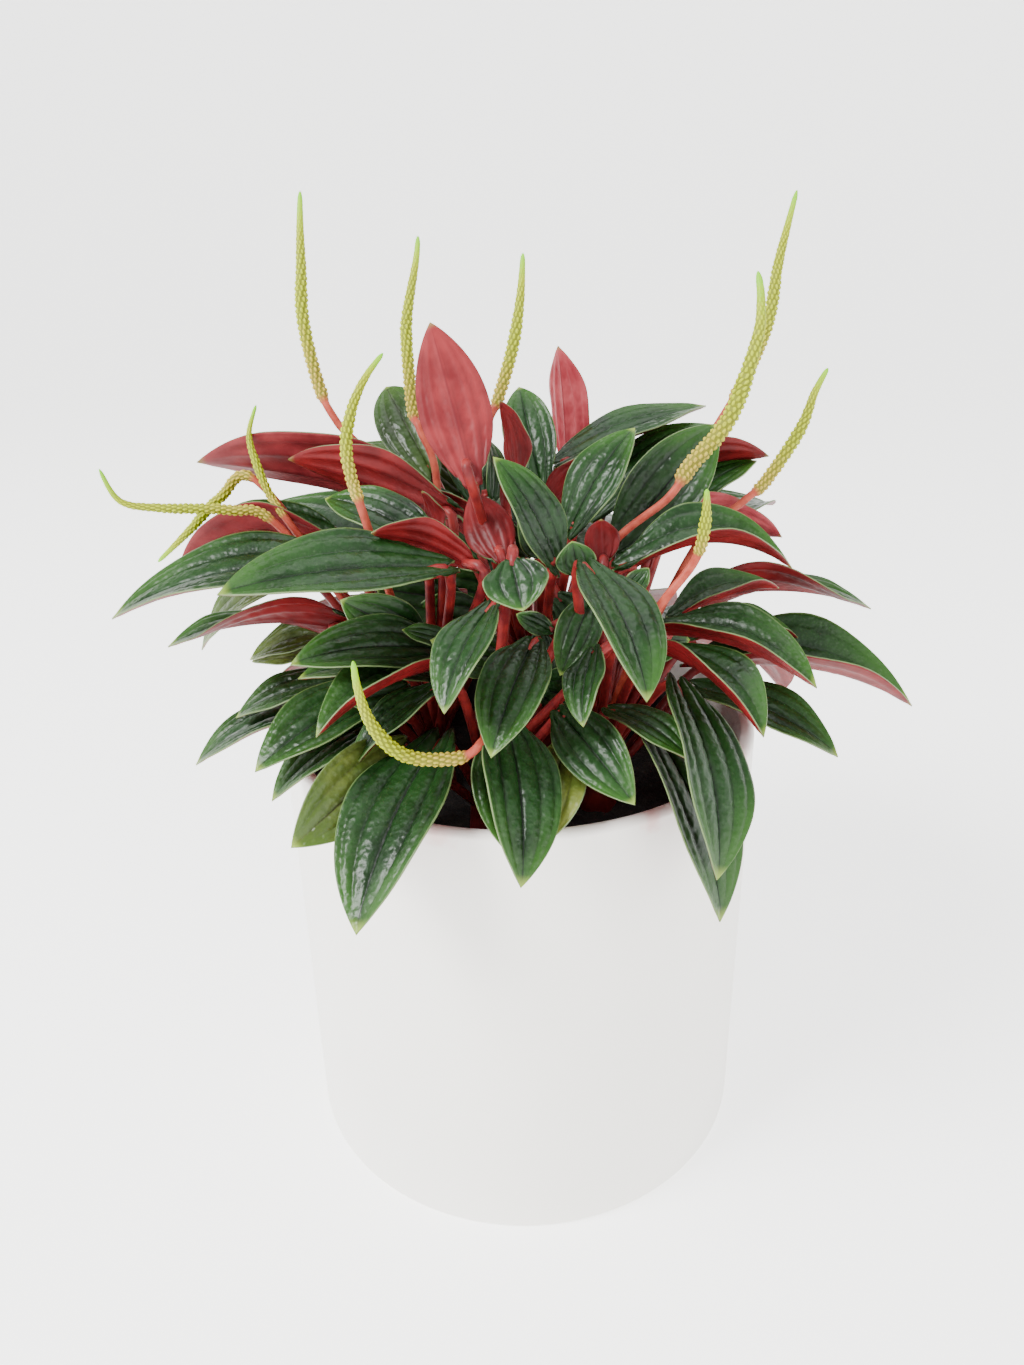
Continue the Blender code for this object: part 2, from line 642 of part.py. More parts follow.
def crown_root(name, crown, radius, top_radius, deeper, collection):
    """The round stem of a crown, from inside the soil up to where its stalks spread."""
    foot = crown_foot(crown)
    low = SOIL_TOP - CROWN_FOOT_DEPTH - deeper
    high = SOIL_TOP + CROWN_STEM
    mesh = bpy.data.meshes.new(name)
    bm = bmesh.new()
    bmesh.ops.create_cone(bm, cap_ends=True, segments=8, radius1=radius,
                          radius2=top_radius, depth=high - low)
    bmesh.ops.translate(bm, verts=bm.verts, vec=(foot.x, foot.y, (low + high) / 2))
    bmesh.ops.triangulate(bm, faces=bm.faces)
    bm.to_mesh(mesh)
    bm.free()
    return mesh_object(name, mesh, collection)


def tube(name, points, radii, resolution, collection):
    """A round tube along points, as a closed mesh."""
    curve = bpy.data.curves.new(name, "CURVE")
    curve.dimensions = "3D"
    curve.bevel_depth = 1 * MM
    curve.bevel_resolution = resolution
    curve.use_fill_caps = True
    spline = curve.splines.new("POLY")
    spline.points.add(len(points) - 1)
    for knot, point, radius in zip(spline.points, points, radii):
        knot.co = (*point, 1)
        knot.radius = radius / MM
    obj = bake(mesh_object(name, curve, collection))
    weld(obj)
    bm = bmesh.new()
    bm.from_mesh(obj.data)
    bmesh.ops.triangulate(bm, faces=bm.faces)
    bmesh.ops.recalc_face_normals(bm, faces=bm.faces)
    bm.to_mesh(obj.data)
    bm.free()
    return obj


def blade(name, leaf, collection):
    """A leaf blade: a grid moved into the leaf's form and thickened."""
    wide, long = leaf.cells()
    mesh = bpy.data.meshes.new(name)
    bm = bmesh.new()
    bmesh.ops.create_grid(bm, x_segments=wide, y_segments=long, size=1)
    for vert in bm.verts:
        u = ((vert.co.y + 1) / 2) ** 1.1
        vert.co = leaf.point(min(u, 1.0), column(vert.co.x, wide) if u < 0.999 else 0.0)
    bmesh.ops.remove_doubles(bm, verts=bm.verts, dist=0.02 * MM)
    bmesh.ops.triangulate(bm, faces=bm.faces, quad_method="FIXED")
    bm.to_mesh(mesh)
    bm.free()
    obj = mesh_object(name, mesh, collection)
    solid = obj.modifiers.new("Thickness", "SOLIDIFY")
    solid.thickness = LEAF_THICKNESS
    solid.offset = 0
    obj = bake(obj)
    bm = bmesh.new()
    bm.from_mesh(obj.data)
    bmesh.ops.triangulate(bm, faces=bm.faces)
    bmesh.ops.recalc_face_normals(bm, faces=bm.faces)
    bm.to_mesh(obj.data)
    bm.free()
    return obj


def island_volume(faces):
    """Signed volume of a set of triangles."""
    total = 0.0
    for face in faces:
        a, b, c = (loop.vert.co for loop in face.loops)
        total += a.dot(b.cross(c)) / 6
    return total


def welded(mesh, distance):
    """A mesh as triangles, with corners nearer than a distance joined."""
    bm = bmesh.new()
    bm.from_mesh(mesh)
    if distance > 0:
        bmesh.ops.remove_doubles(bm, verts=bm.verts, dist=distance)
        bmesh.ops.dissolve_degenerate(bm, dist=distance, edges=bm.edges)
    bmesh.ops.triangulate(bm, faces=bm.faces)
    return bm


def fans(vert):
    """The faces round a corner, in groups that hang together through edges of two faces."""
    left = set(vert.link_faces)
    groups = []
    while left:
        stack = [left.pop()]
        group = []
        while stack:
            face = stack.pop()
            group.append(face)
            for edge in face.edges:
                if vert not in edge.verts or len(edge.link_faces) != 2:
                    continue
                for near in edge.link_faces:
                    if near in left:
                        left.remove(near)
                        stack.append(near)
        groups.append(group)
    return groups


def open_touching_edges(bm, mesh):
    """Where two surfaces only touch along an edge, give each its own corners, a hair inside it."""
    bm.verts.index_update()
    bm.faces.index_update()
    corners = [vert.co.copy() for vert in bm.verts]
    faces = [[vert.index for vert in face.verts] for face in bm.faces]
    tight = {vert for edge in bm.edges if len(edge.link_faces) > 2 for vert in edge.verts}
    for vert in sorted(tight, key=lambda v: v.index):
        for fan in fans(vert)[1:]:
            inward = -sum((face.normal for face in fan), Vector()).normalized()
            for face in fan:
                faces[face.index] = [len(corners) if i == vert.index else i for i in faces[face.index]]
            corners.append(vert.co + inward * TOUCH_GAP)
    mesh.clear_geometry()
    mesh.from_pydata(corners, [], faces)


def keep_one_body(mesh):
    """Keep the largest body, and drop loose scraps and sealed hollows."""
    for distance, allowed in ((0.002 * MM, (2,)), (0.0005 * MM, (2,)), (0.0, (2,)), (0.0, (2, 4))):
        bm = welded(mesh, distance)
        if all(len(edge.link_faces) in allowed for edge in bm.edges):
            break
        if allowed == (2,):
            bm.free()
    open_touching_edges(bm, mesh)
    bm.free()
    bm = bmesh.new()
    bm.from_mesh(mesh)
    left = set(bm.faces)
    islands = []
    while left:
        stack = [left.pop()]
        island = []
        while stack:
            face = stack.pop()
            island.append(face)
            for edge in face.edges:
                for near in edge.link_faces:
                    if near in left:
                        left.remove(near)
                        stack.append(near)
        islands.append(island)
    islands.sort(key=island_volume, reverse=True)
    drop = [face for island in islands[1:] for face in island]
    bmesh.ops.delete(bm, geom=drop, context="FACES")
    loose = [vert for vert in bm.verts if not vert.link_faces]
    bmesh.ops.delete(bm, geom=loose, context="VERTS")
    bm.to_mesh(mesh)
    bm.free()


def build_crown(crown, pieces, parts):
    """One leafy crown: its stem, with all its leaves, stalks and spikes fused to it."""
    repeats = new_collection("repeats_" + crown)
    for piece in pieces:
        if piece.crown != crown:
            continue
        if piece.name in SPIKES:
            tube("spike_" + piece.name, piece.points, piece.radii, 1, repeats)
        else:
            blade("blade_" + piece.name, piece.leaf, repeats)
            path = stalk_path(piece.leaf)
            radii = [STALK_RADIUS * 0.3] + [STALK_RADIUS] * (len(path) - 1)
            tube("stalk_" + piece.name, path, radii, 0, repeats)
    root = crown_root("crown_" + crown, crown, CROWN_FOOT_RADIUS, CROWN_STEM_TOP_RADIUS, 0.0, parts)
    join = root.modifiers.new("Join", "BOOLEAN")
    join.operation = "UNION"
    join.operand_type = "COLLECTION"
    join.collection = repeats
    join.solver = "MANIFOLD"
    root = bake(root)
    for obj in list(repeats.objects):
        bpy.data.objects.remove(obj, do_unlink=True)
    bpy.data.collections.remove(repeats)
    keep_one_body(root.data)
    root.data.materials.clear()
    root.data.materials.append(material("leaves_" + crown, (0.055, 0.13, 0.045), 0.35))


def main():
    """Build the pot, what stands in it, and the plant."""
    clear_scene()
    parts = new_collection("ripple_peperomia")
    cutters = new_collection("cutters")
    build_pot(parts)
    build_nursery_pot(parts)
    build_soil(parts, cutters)
    pieces = settled_plant()
    for crown in CROWNS:
        build_crown(crown, pieces, parts)


if __name__ == "__main__":
    main()
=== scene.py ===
"""Dresses a ripple peperomia in its pot: fine leaves, stalks, flower spikes, soil and pots."""

import json
import math
import random

import bpy
import numpy as np
from bpy.props import FloatVectorProperty, IntProperty, PointerProperty
from mathutils import Matrix, Vector
from mathutils.bvhtree import BVHTree

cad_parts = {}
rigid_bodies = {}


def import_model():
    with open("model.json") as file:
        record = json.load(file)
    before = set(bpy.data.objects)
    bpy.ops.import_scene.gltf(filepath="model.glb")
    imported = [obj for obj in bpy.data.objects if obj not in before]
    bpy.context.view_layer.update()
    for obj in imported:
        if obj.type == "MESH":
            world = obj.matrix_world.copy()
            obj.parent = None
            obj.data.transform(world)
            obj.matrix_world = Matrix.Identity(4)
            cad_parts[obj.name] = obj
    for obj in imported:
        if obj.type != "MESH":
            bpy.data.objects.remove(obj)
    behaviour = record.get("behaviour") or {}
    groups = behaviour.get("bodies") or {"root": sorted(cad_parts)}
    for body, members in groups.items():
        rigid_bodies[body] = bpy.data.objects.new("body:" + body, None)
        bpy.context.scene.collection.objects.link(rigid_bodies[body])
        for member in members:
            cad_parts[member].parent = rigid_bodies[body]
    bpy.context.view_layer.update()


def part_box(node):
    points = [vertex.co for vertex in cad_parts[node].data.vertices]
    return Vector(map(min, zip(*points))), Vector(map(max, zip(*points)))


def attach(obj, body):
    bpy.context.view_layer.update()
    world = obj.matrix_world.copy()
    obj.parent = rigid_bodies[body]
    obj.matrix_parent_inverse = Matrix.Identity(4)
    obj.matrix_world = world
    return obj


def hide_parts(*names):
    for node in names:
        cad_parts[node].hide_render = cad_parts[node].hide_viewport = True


bl_info = {
    "name": "Ripple peperomia",
    "version": (1, 0, 0),
    "blender": (4, 5, 0),
    "location": "View3D > Sidebar > Peperomia",
    "description": "Builds the fine leaves, stalks, spikes, soil and pots of a ripple peperomia",
    "category": "Object",
}

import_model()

MM = 0.001

POT_LOW, POT_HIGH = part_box("pot")
NURSERY_LOW, NURSERY_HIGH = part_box("nursery_pot")
SOIL_LOW, SOIL_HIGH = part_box("soil")

# Sizes of the real pot and plant
POT_RADIUS = 70 * MM
POT_HEIGHT = POT_HIGH.z
POT_WALL = 4 * MM
NURSERY_WALL = 1.2 * MM
NURSERY_TOP_RADIUS = 62 * MM
NURSERY_FOOT_RADIUS = 54 * MM
NURSERY_BASE = 4.3 * MM
NURSERY_RIM = NURSERY_BASE + 124 * MM
SOIL_BASE = NURSERY_BASE + NURSERY_WALL + 0.3 * MM
SOIL_TOP = SOIL_BASE + 104 * MM
LEAF_THICKNESS = 0.8 * MM
LEAF_WIDTH_TO_LENGTH = 0.48
WIDEST_BLADE = 46 * MM
STALK_RADIUS = 1.2 * MM
STALK_BACK = 4 * MM
STALK_UNDER = 5 * MM
SHORT_STALK = 80 * MM
CROWN_FOOT_RADIUS = 6 * MM
CROWN_STEM = 38 * MM
CROWN_STEM_TOP_RADIUS = 3.5 * MM
CROWN_RING = 26 * MM

# The plant is placed by sight lines: a place is a point of a 1024 by 1365 picture and the plane,
# so many millimetres behind the pot's axis, that its sight line is cut by.
EYE = Vector((0.0, -280.98, 271.53)) * MM
SIGHT_DOWN = math.radians(24.13)
SIGHT_TURN = math.radians(-0.37)
SIGHT_LEAN = math.radians(-1.25)
PIXELS_PER_UNIT = 1027.0
PICTURE_MIDDLE = (512.0, 682.5)

CROWNS = {
    "left": (-1.0, 0.1),
    "front": (-0.35, -0.95),
    "right": (0.9, -0.45),
    "back": (0.25, 0.95),
}

# Where along its length a blade is widest
WIDEST = 0.42

# How far a blade's middle stands off the line from joint to tip, and how far its edges turn up
ARCH = 0.1
CUP = 0.14
FOLD = 0.42
ARCHED = {"D5": 0.2, "A1": 0.04, "A2": 0.04, "A4": 0.15, "E1": 0.06, "E3": 0.1, "H3": 0.12,
          "C6": 0.04, "B1": 0.03, "B5": 0.12, "C2": 0.03, "F3": 0.02}

# How far the plant stands from the eye, for a leaf that is moved along its sight lines
PLANT_DISTANCE = 390 * MM

# Leaves: crown, then where the stalk joins the blade and the tip, each as picture x, picture y and
# depth in mm, then the blade's width in the picture and the side of it that is seen: a turned blade
# shows its underside at the joint and its upper side at the tip, a folded one shows a strip of its
# underside below its upper side, and an edge one more of it.
LEAVES = {
    "B1": ("back", (470, 472, -5), (430, 322, 8), 70, "under"),
    "B2": ("back", (430, 470, 30), (386, 387, 55), 55, "top"),
    "B3": ("back", (472, 498, 15), (423, 410, 45), 40, "top"),
    "B4": ("back", (515, 480, 15), (500, 400, 20), 25, "under"),
    "C1": ("back", (540, 480, 20), (519, 387, 40), 50, "top"),
    "C2": ("back", (568, 460, 52), (558, 346, 50), 38, "under"),
    "C6": ("back", (565, 462, 30), (706, 406, 50), 28, "top"),
    "C7": ("back", (600, 512, 15), (715, 425, 30), 40, "top"),
    "C8": ("right", (622, 538, 0), (718, 424, 10), 70, "top"),
    "C4": ("back", (572, 528, -15), (635, 428, -5), 48, "top"),
    "C3": ("back", (555, 565, -25), (493, 457, -20), 45, "top"),
    "C5": ("back", (548, 512, 0), (592, 455, 0), 30, "under"),
    "C11": ("back", (492, 495, 20), (486, 438, 35), 20, "top"),
    "D1": ("right", (650, 490, 20), (769, 456, 30), 25, "under"),
    "D2": ("right", (665, 528, 10), (757, 461, 25), 35, "top"),
    "D3": ("right", (630, 560, 0), (742, 500, 10), 35, "under"),
    "D4": ("right", (660, 535, 5), (782, 537, 15), 30, "under"),
    "D5": ("right", (628, 570, -10), (792, 568, -10), 46, "folded"),
    "D6": ("right", (628, 592, -25), (649, 568, -25), 22, "top"),
    "D7": ("right", (678, 617, -15), (779, 588, -5), 28, "folded"),
    "H1": ("right", (700, 600, 0), (871, 609, 5), 30, "turned"),
    "H2": ("right", (690, 640, 0), (798, 638, 5), 28, "folded"),
    "H3": ("right", (700, 668, -5), (912, 706, -15), 34, "folded"),
    "H4": ("right", (660, 632, -20), (817, 688, -45), 45, "folded"),
    "H5": ("right", (660, 650, -30), (764, 737, -60), 60, "folded"),
    "H6": ("right", (700, 690, -10), (838, 757, -30), 40, "top"),
    "J4": ("right", (678, 692, -45), (717, 880, -85), 62, "top"),
    "J5": ("right", (646, 724, -50), (720, 922, -85), 60, "top"),
    "J6": ("right", (612, 712, -40), (690, 760, -60), 34, "top"),
    "J2": ("front", (563, 716, -50), (635, 805, -75), 62, "top"),
    "J3": ("front", (594, 653, -40), (583, 727, -60), 38, "top"),
    "J1": ("front", (563, 750, -55), (541, 847, -78), 60, "top"),
    "G1": ("right", (590, 572, -35), (647, 702, -70), 62, "top"),
    "G2": ("right", (590, 602, -25), (560, 676, -40), 45, "top"),
    "I2": ("front", (505, 725, -55), (521, 888, -90), 75, "top"),
    "I2b": ("front", (500, 740, -50), (505, 850, -75), 60, "top"),
    "I1": ("front", (438, 745, -50), (356, 935, -95), 88, "top"),
    "E13": ("front", (400, 750, -40), (291, 848, -70), 75, "top"),
    "F1": ("front", (490, 610, -40), (444, 714, -65), 48, "top"),
    "F2": ("front", (531, 648, -45), (491, 758, -75), 68, "top"),
    "F3": ("front", (512, 564, -40), (523, 611, -50), 66, "top"),
    "F4b": ("front", (550, 630, -35), (516, 614, -35), 22, "top"),
    "F6": ("left", (452, 645, -40), (402, 630, -40), 22, "top"),
    "F7": ("left", (440, 630, -10), (380, 600, -10), 26, "top"),
    "E1": ("left", (437, 569, -25), (217, 595, -45), 60, "top"),
    "E2": ("left", (290, 575, 25), (202, 650, 30), 25, "top"),
    "E3": ("left", (340, 627, 0), (168, 647, -5), 34, "turned"),
    "E4": ("left", (340, 632, 10), (250, 660, 10), 28, "top"),
    "E5": ("left", (330, 650, 30), (252, 662, 30), 28, "top"),
    "E6": ("left", (443, 652, -35), (290, 665, -50), 53, "top"),
    "E7": ("left", (430, 678, -35), (298, 679, -45), 30, "top"),
    "E8": ("left", (443, 665, -40), (316, 737, -60), 50, "folded"),
    "E9": ("left", (395, 690, -30), (255, 772, -55), 55, "top"),
    "E10": ("left", (330, 705, -15), (196, 765, -25), 30, "top"),
    "E11": ("left", (350, 682, -15), (236, 718, -20), 30, "top"),
    "E12": ("left", (395, 715, -35), (272, 801, -55), 38, "top"),
    "E14": ("front", (437, 690, -42), (350, 772, -50), 28, "top"),
    "A1": ("left", (440, 505, 15), (197, 462, 25), 50, "under"),
    "A2": ("left", (447, 512, 0), (288, 459, 10), 45, "under"),
    "A3": ("back", (455, 500, 25), (327, 452, 45), 32, "top"),
    "A4": ("left", (340, 548, 0), (179, 566, 0), 38, "edge"),
    "A5": ("left", (345, 570, -10), (112, 619, -15), 45, "top"),
    "B5": ("left", (470, 565, -30), (371, 533, -35), 35, "under"),
    "B6": ("left", (430, 545, -10), (325, 499, 5), 45, "top"),
    "B7": ("back", (485, 550, -10), (428, 490, -10), 25, "under"),
    "B8": ("left", (437, 538, -12), (422, 491, -12), 16, "under"),
    "B11": ("back", (500, 555, -25), (472, 492, -15), 50, "under"),
    "C9": ("right", (578, 572, -35), (572, 541, -35), 40, "top"),
    "C10": ("right", (603, 560, -20), (601, 519, -20), 35, "under"),
    "N1": ("back", (520, 560, 20), (440, 520, 10), 60, "top"),
    "N2": ("back", (560, 545, 10), (520, 505, 5), 60, "top"),
    "N3": ("left", (420, 640, -10), (340, 600, -15), 55, "top"),
    "N4": ("front", (500, 660, -30), (430, 640, -40), 50, "top"),
    "N5": ("front", (545, 690, -35), (590, 700, -45), 50, "top"),
    "N6": ("right", (610, 640, -15), (690, 640, -15), 50, "top"),
    "N7": ("left", (400, 680, -20), (330, 690, -25), 50, "top"),
    "N8": ("left", (455, 600, 0), (375, 588, -5), 55, "top"),
    "N10": ("left", (485, 620, -5), (405, 618, -10), 55, "top"),
    "N14": ("back", (505, 602, 22), (430, 580, 22), 46, "top"),
    "N11": ("right", (560, 600, -10), (606, 645, -15), 50, "top"),
    "N12": ("front", (540, 640, -15), (545, 705, -25), 50, "top"),
}

# Flower spikes: crown, half width in the picture, depth in mm at the tip and at the foot, the share
# of the path that is spike, then the path from the tip down.
SPIKES = {
    "S1": ("left", 5, -5, 0, 0.98, [(99, 469), (120, 501), (160, 508), (230, 510), (275, 523)]),
    "S2": ("left", 5, 20, 15, 0.97, [(158, 562), (190, 530), (220, 498), (258, 482)]),
    "S3": ("left", 4, 25, 10, 0.97, [(256, 405), (249, 435), (257, 465), (270, 495), (288, 521)]),
    "S4": ("left", 6, 40, 15, 0.72,
           [(300, 191), (300, 228), (301, 265), (303, 320), (319, 386), (337, 422), (381, 480)]),
    "S5": ("left", 6, -8, -25, 0.92,
           [(383, 353), (365, 378), (352, 408), (346, 445), (352, 480), (367, 525)]),
    "S10": ("left", 6, 30, 5, 0.7,
            [(418, 236), (416, 260), (407, 316), (407, 350), (413, 412), (420, 430), (437, 484)]),
    "S11": ("back", 6, 20, 5, 0.62,
            [(523, 253), (520, 300), (512, 350), (497, 402), (488, 425), (476, 492)]),
    "S7a": ("back", 6, 50, 30, 0.95, [(797, 190), (787, 228), (778, 265), (764, 335), (720, 420)]),
    "S7b": ("right", 8, 5, -15, 0.75,
            [(758, 271), (761, 300), (757, 340), (730, 417), (690, 466), (668, 498), (605, 556)]),
    "S8": ("right", 6, 20, 5, 0.7,
           [(828, 368), (815, 392), (800, 430), (765, 482), (745, 500), (700, 540)]),
    "S9": ("right", 6, -45, -45, 0.6, [(707, 489), (705, 525), (694, 562), (655, 614)]),
    "S12": ("front", 7, -76, -64, 0.85,
            [(353, 661), (358, 690), (370, 722), (392, 748), (420, 759), (463, 757), (482, 742)]),
}

# Leaves on the far side, which no sight line reaches, go round by a seeded rule: how many, over which
# degrees, how far out in mm they join their stalks, how long they are in mm, and for each of the two
# tiers how high they join and which slopes in degrees they have
FAR_LEAVES = 17
FAR_SEED = 11
FAR_START = 24
FAR_SWEEP = 132
FAR_OUT = (50, 58)
FAR_LONG = (52, 62)
FAR_HEIGHTS = (150 * MM, 172 * MM)
FAR_SLOPES = ((-42, -24), (-4, 14))
FAR_RIGHT = math.radians(38)
FAR_LEFT = math.radians(145)


def sight(px, py):
    """Direction from the eye through a point of the picture."""
    ahead = Vector((math.sin(SIGHT_TURN) * math.cos(SIGHT_DOWN),
                    math.cos(SIGHT_TURN) * math.cos(SIGHT_DOWN), -math.sin(SIGHT_DOWN)))
    side = ahead.cross(Vector((0, 0, 1))).normalized()
    top = side.cross(ahead)
    right = side * math.cos(SIGHT_LEAN) + top * math.sin(SIGHT_LEAN)
    up = top * math.cos(SIGHT_LEAN) - side * math.sin(SIGHT_LEAN)
    across = (px - PICTURE_MIDDLE[0]) / PIXELS_PER_UNIT
    down = (py - PICTURE_MIDDLE[1]) / PIXELS_PER_UNIT
    return ahead + right * across - up * down


def seen(px, py, depth_mm):
    """The point on a sight line that lies depth_mm behind the pot's axis."""
    ray = sight(px, py)
    return EYE + ray * ((depth_mm * MM - EYE.y) / ray.y)


def crown_foot(crown):
    """Where a crown stands on the soil."""
    x, y = CROWNS[crown]
    return Vector((x, y, 0)).normalized() * CROWN_RING + Vector((0, 0, SOIL_TOP))


class Leaf:
    """One blade: where it joins its stalk, its tip, its width and the way its upper side faces."""

    def __init__(self, crown, joint, tip, width, face, rise=None, turns=(0.0, 0.0), arch=ARCH, cup=CUP):
        self.crown = crown
        self.joint = joint
        self.tip = tip
        self.length = (tip - joint).length
        self.width = width
        self.along = (tip - joint).normalized()
        self.face = (face - self.along * face.dot(self.along)).normalized()
        self.rise = rise if rise is not None else self.along.cross(self.face)
        self.turns = turns
        self.arch = arch
        self.cup = cup
        self.middle = self.facing(0.5)

    def facing(self, u):
        """The way the upper side faces at u, as the blade may twist from joint to tip."""
        share = min(1.0, max(0.0, (u - 0.1) / 0.7))
        turn = self.turns[0] + (self.turns[1] - self.turns[0]) * share
        return self.face * math.cos(turn) + self.rise * math.sin(turn)

    def point(self, u, v):
        """Surface point, u from the joint to the tip and v from edge to edge."""
        half = self.width / 2 * outline(u)
        lobe = -0.1 * self.length * math.sin(math.pi * min(1.0, abs(v))) * (1 - u) ** 8
        arch = self.arch * self.length * 4 * u * (1 - u)
        cup = self.cup * self.width * v * v * outline(u)
        size = 1.1 * MM * min(1.0, self.width / (25 * MM))
        relief = size * math.sin(math.pi * min(1, u + 0.12)) ** 0.5
        if abs(v) < 0.75:
            cup -= relief * math.cos(4 * math.pi * v)
        else:
            cup += relief
        facing = self.facing(u)
        across = facing.cross(self.along)
        spine = self.joint + self.along * (u * self.length + lobe) + self.middle * arch
        return spine + across * (v * half) + facing * cup

    def cells(self):
        """How many faces the blade has across and along."""
        if self.length > 44 * MM:
            return 6, 3
        if self.length > 24 * MM:
            return 4, 3
        return 4, 2

    def grid(self):
        """Rows of surface points from the joint to the tip; the last row is the tip alone."""
        wide, long = self.cells()
        rows = []
        for i in range(long):
            u = (i / long) ** 1.1
            rows.append([self.point(u, column(2 * j / wide - 1, wide)) for j in range(wide + 1)])
        rows.append([self.point(1.0, 0.0)] * (wide + 1))
        return rows


def column(v, wide):
    """Sets the evenly spaced columns of a blade's grid on its grooves and ridges."""
    power = 1.3 if wide == 6 else 1.8
    return math.copysign(abs(v) ** power if abs(v) < 0.99 else 1.0, v)


def outline(u):
    """Half width of a blade along its length, as a share of its widest: rounded foot, blunt tip."""
    if u < WIDEST:
        return 0.34 + 0.66 * math.sin(math.pi / 2 * u / WIDEST) ** 0.7
    return max(0.0, 1 - ((u - WIDEST) / (1 - WIDEST)) ** 2.2) ** 0.95


def seen_leaf(name, push=1.0):
    """A leaf from its place in the picture; push moves it along its sight lines."""
    crown, joint, tip, wide_px, side = LEAVES[name]
    base = EYE + (seen(*joint) - EYE) * push
    end = EYE + (seen(*tip) - EYE) * push
    middle = (base + end) / 2
    to_eye = EYE - middle
    along = (end - base).normalized()
    shown = wide_px / PIXELS_PER_UNIT * to_eye.length
    width = max(shown, LEAF_WIDTH_TO_LENGTH * (end - base).length)
    width = min(width, WIDEST_BLADE)
    facing = (to_eye - along * to_eye.dot(along)).normalized()
    rise = along.cross(facing)
    if rise.z < 0:
        rise = -rise
    turn = math.acos(min(1.0, shown / width))
    turns = {
        "top": (turn, turn),
        "under": (math.pi - turn, math.pi - turn),
        "turned": (math.radians(128), turn),
        "folded": (math.radians(66), math.radians(66)),
        "edge": (math.radians(84), math.radians(84)),
    }[side]
    cup = {"folded": FOLD * 0.8, "edge": FOLD}.get(side, CUP)
    return Leaf(crown, base, end, width, facing, rise, turns, ARCHED.get(name, ARCH), cup)


def far_leaves():
    """Leaves of the far side, on two tiers round the back of the dome."""
    draw = random.Random(FAR_SEED)
    leaves = []
    for i in range(FAR_LEAVES):
        tier = i % 2
        angle = math.radians(FAR_START + FAR_SWEEP * (i + 0.5) / FAR_LEAVES + draw.uniform(-3, 3))
        out = Vector((math.cos(angle), math.sin(angle), 0))
        joint = out * draw.uniform(*FAR_OUT) * MM + Vector((0, 0, FAR_HEIGHTS[tier]))
        reach = draw.uniform(*FAR_LONG) * MM
        slope = math.radians(draw.uniform(*FAR_SLOPES[tier]))
        tip = joint + out * reach * math.cos(slope) + Vector((0, 0, reach * math.sin(slope)))
        face = Vector((0, 0, 1)) * math.cos(slope) - out * math.sin(slope)
        if angle < FAR_RIGHT:
            crown = "right"
        elif angle > FAR_LEFT:
            crown = "left"
        else:
            crown = "back"
        leaves.append(("far_%02d" % i, Leaf(crown, joint, tip, 0.62 * reach, face)))
    return leaves


def stalk_path(leaf):
    """A leaf stalk: from inside the blade's foot, under it, and down into the crown's foot."""
    foot = crown_foot(leaf.crown)
    start = leaf.point(0.05, 0)
    under = leaf.joint - leaf.along * STALK_BACK - leaf.facing(0) * STALK_UNDER
    low = foot + Vector((under.x - foot.x, under.y - foot.y, 0)) * 0.3
    low.z = SOIL_TOP + max(16 * MM, (under.z - SOIL_TOP) * 0.45)
    end = foot + Vector((under.x - foot.x, under.y - foot.y, 0)).normalized() * 1.5 * MM
    end.z = SOIL_TOP + (3 + 30 * min(1.0, max(0.0, (under.z - 0.135) / 0.06))) * MM
    low.z = max(low.z, end.z + 5 * MM)
    if under.z - SOIL_TOP < SHORT_STALK:
        return [start, under, end]
    return [start, under, low, end]


def spike_path(name):
    """A spike and its stalk: the points, and how thick each is."""
    crown, half_px, tip_depth, foot_depth, share, path = SPIKES[name]
    points = []
    radii = []
    for i, (px, py) in enumerate(path):
        at = i / (len(path) - 1)
        point = seen(px, py, tip_depth + (foot_depth - tip_depth) * at)
        thick = half_px / PIXELS_PER_UNIT * (point - EYE).length
        points.append(point)
        taper = 0.4 + 0.6 * min(1.0, 2 * at / share)
        radii.append(thick * taper if at < share else STALK_RADIUS)
    foot = crown_foot(crown)
    low = foot + (points[-1] - foot) * 0.45
    rank = [key for key in SPIKES if SPIKES[key][0] == crown].index(name)
    out = Vector((points[-1].x - foot.x, points[-1].y - foot.y, 0)).normalized()
    end = foot + out * 2 * MM + Vector((0, 0, CROWN_STEM - (4 + 6 * rank) * MM))
    low.z = end.z + 0.4 * (points[-1].z - end.z) + 2 * MM * rank
    return points + [low, end], radii + [STALK_RADIUS, STALK_RADIUS]


def shell(rows, thick):
    """Corner points and triangles of a blade with both faces, for crossing tests."""
    high = len(rows)
    wide = len(rows[0])
    flat = [p for row in rows for p in row]
    normals = []
    for i in range(high):
        for j in range(wide):
            a = rows[min(i + 1, high - 1)][j] - rows[max(i - 1, 0)][j]
            row = rows[min(i, high - 2)]
            b = row[min(j + 1, wide - 1)] - row[max(j - 1, 0)]
            normals.append(b.cross(a).normalized())
    points = [p + n * thick / 2 for p, n in zip(flat, normals)]
    points += [p - n * thick / 2 for p, n in zip(flat, normals)]
    faces = []
    for side in (0, len(flat)):
        for i in range(high - 1):
            for j in range(wide - 1):
                k = side + i * wide + j
                faces.append((k, k + 1, k + wide + 1))
                faces.append((k, k + wide + 1, k + wide))
    return points, faces


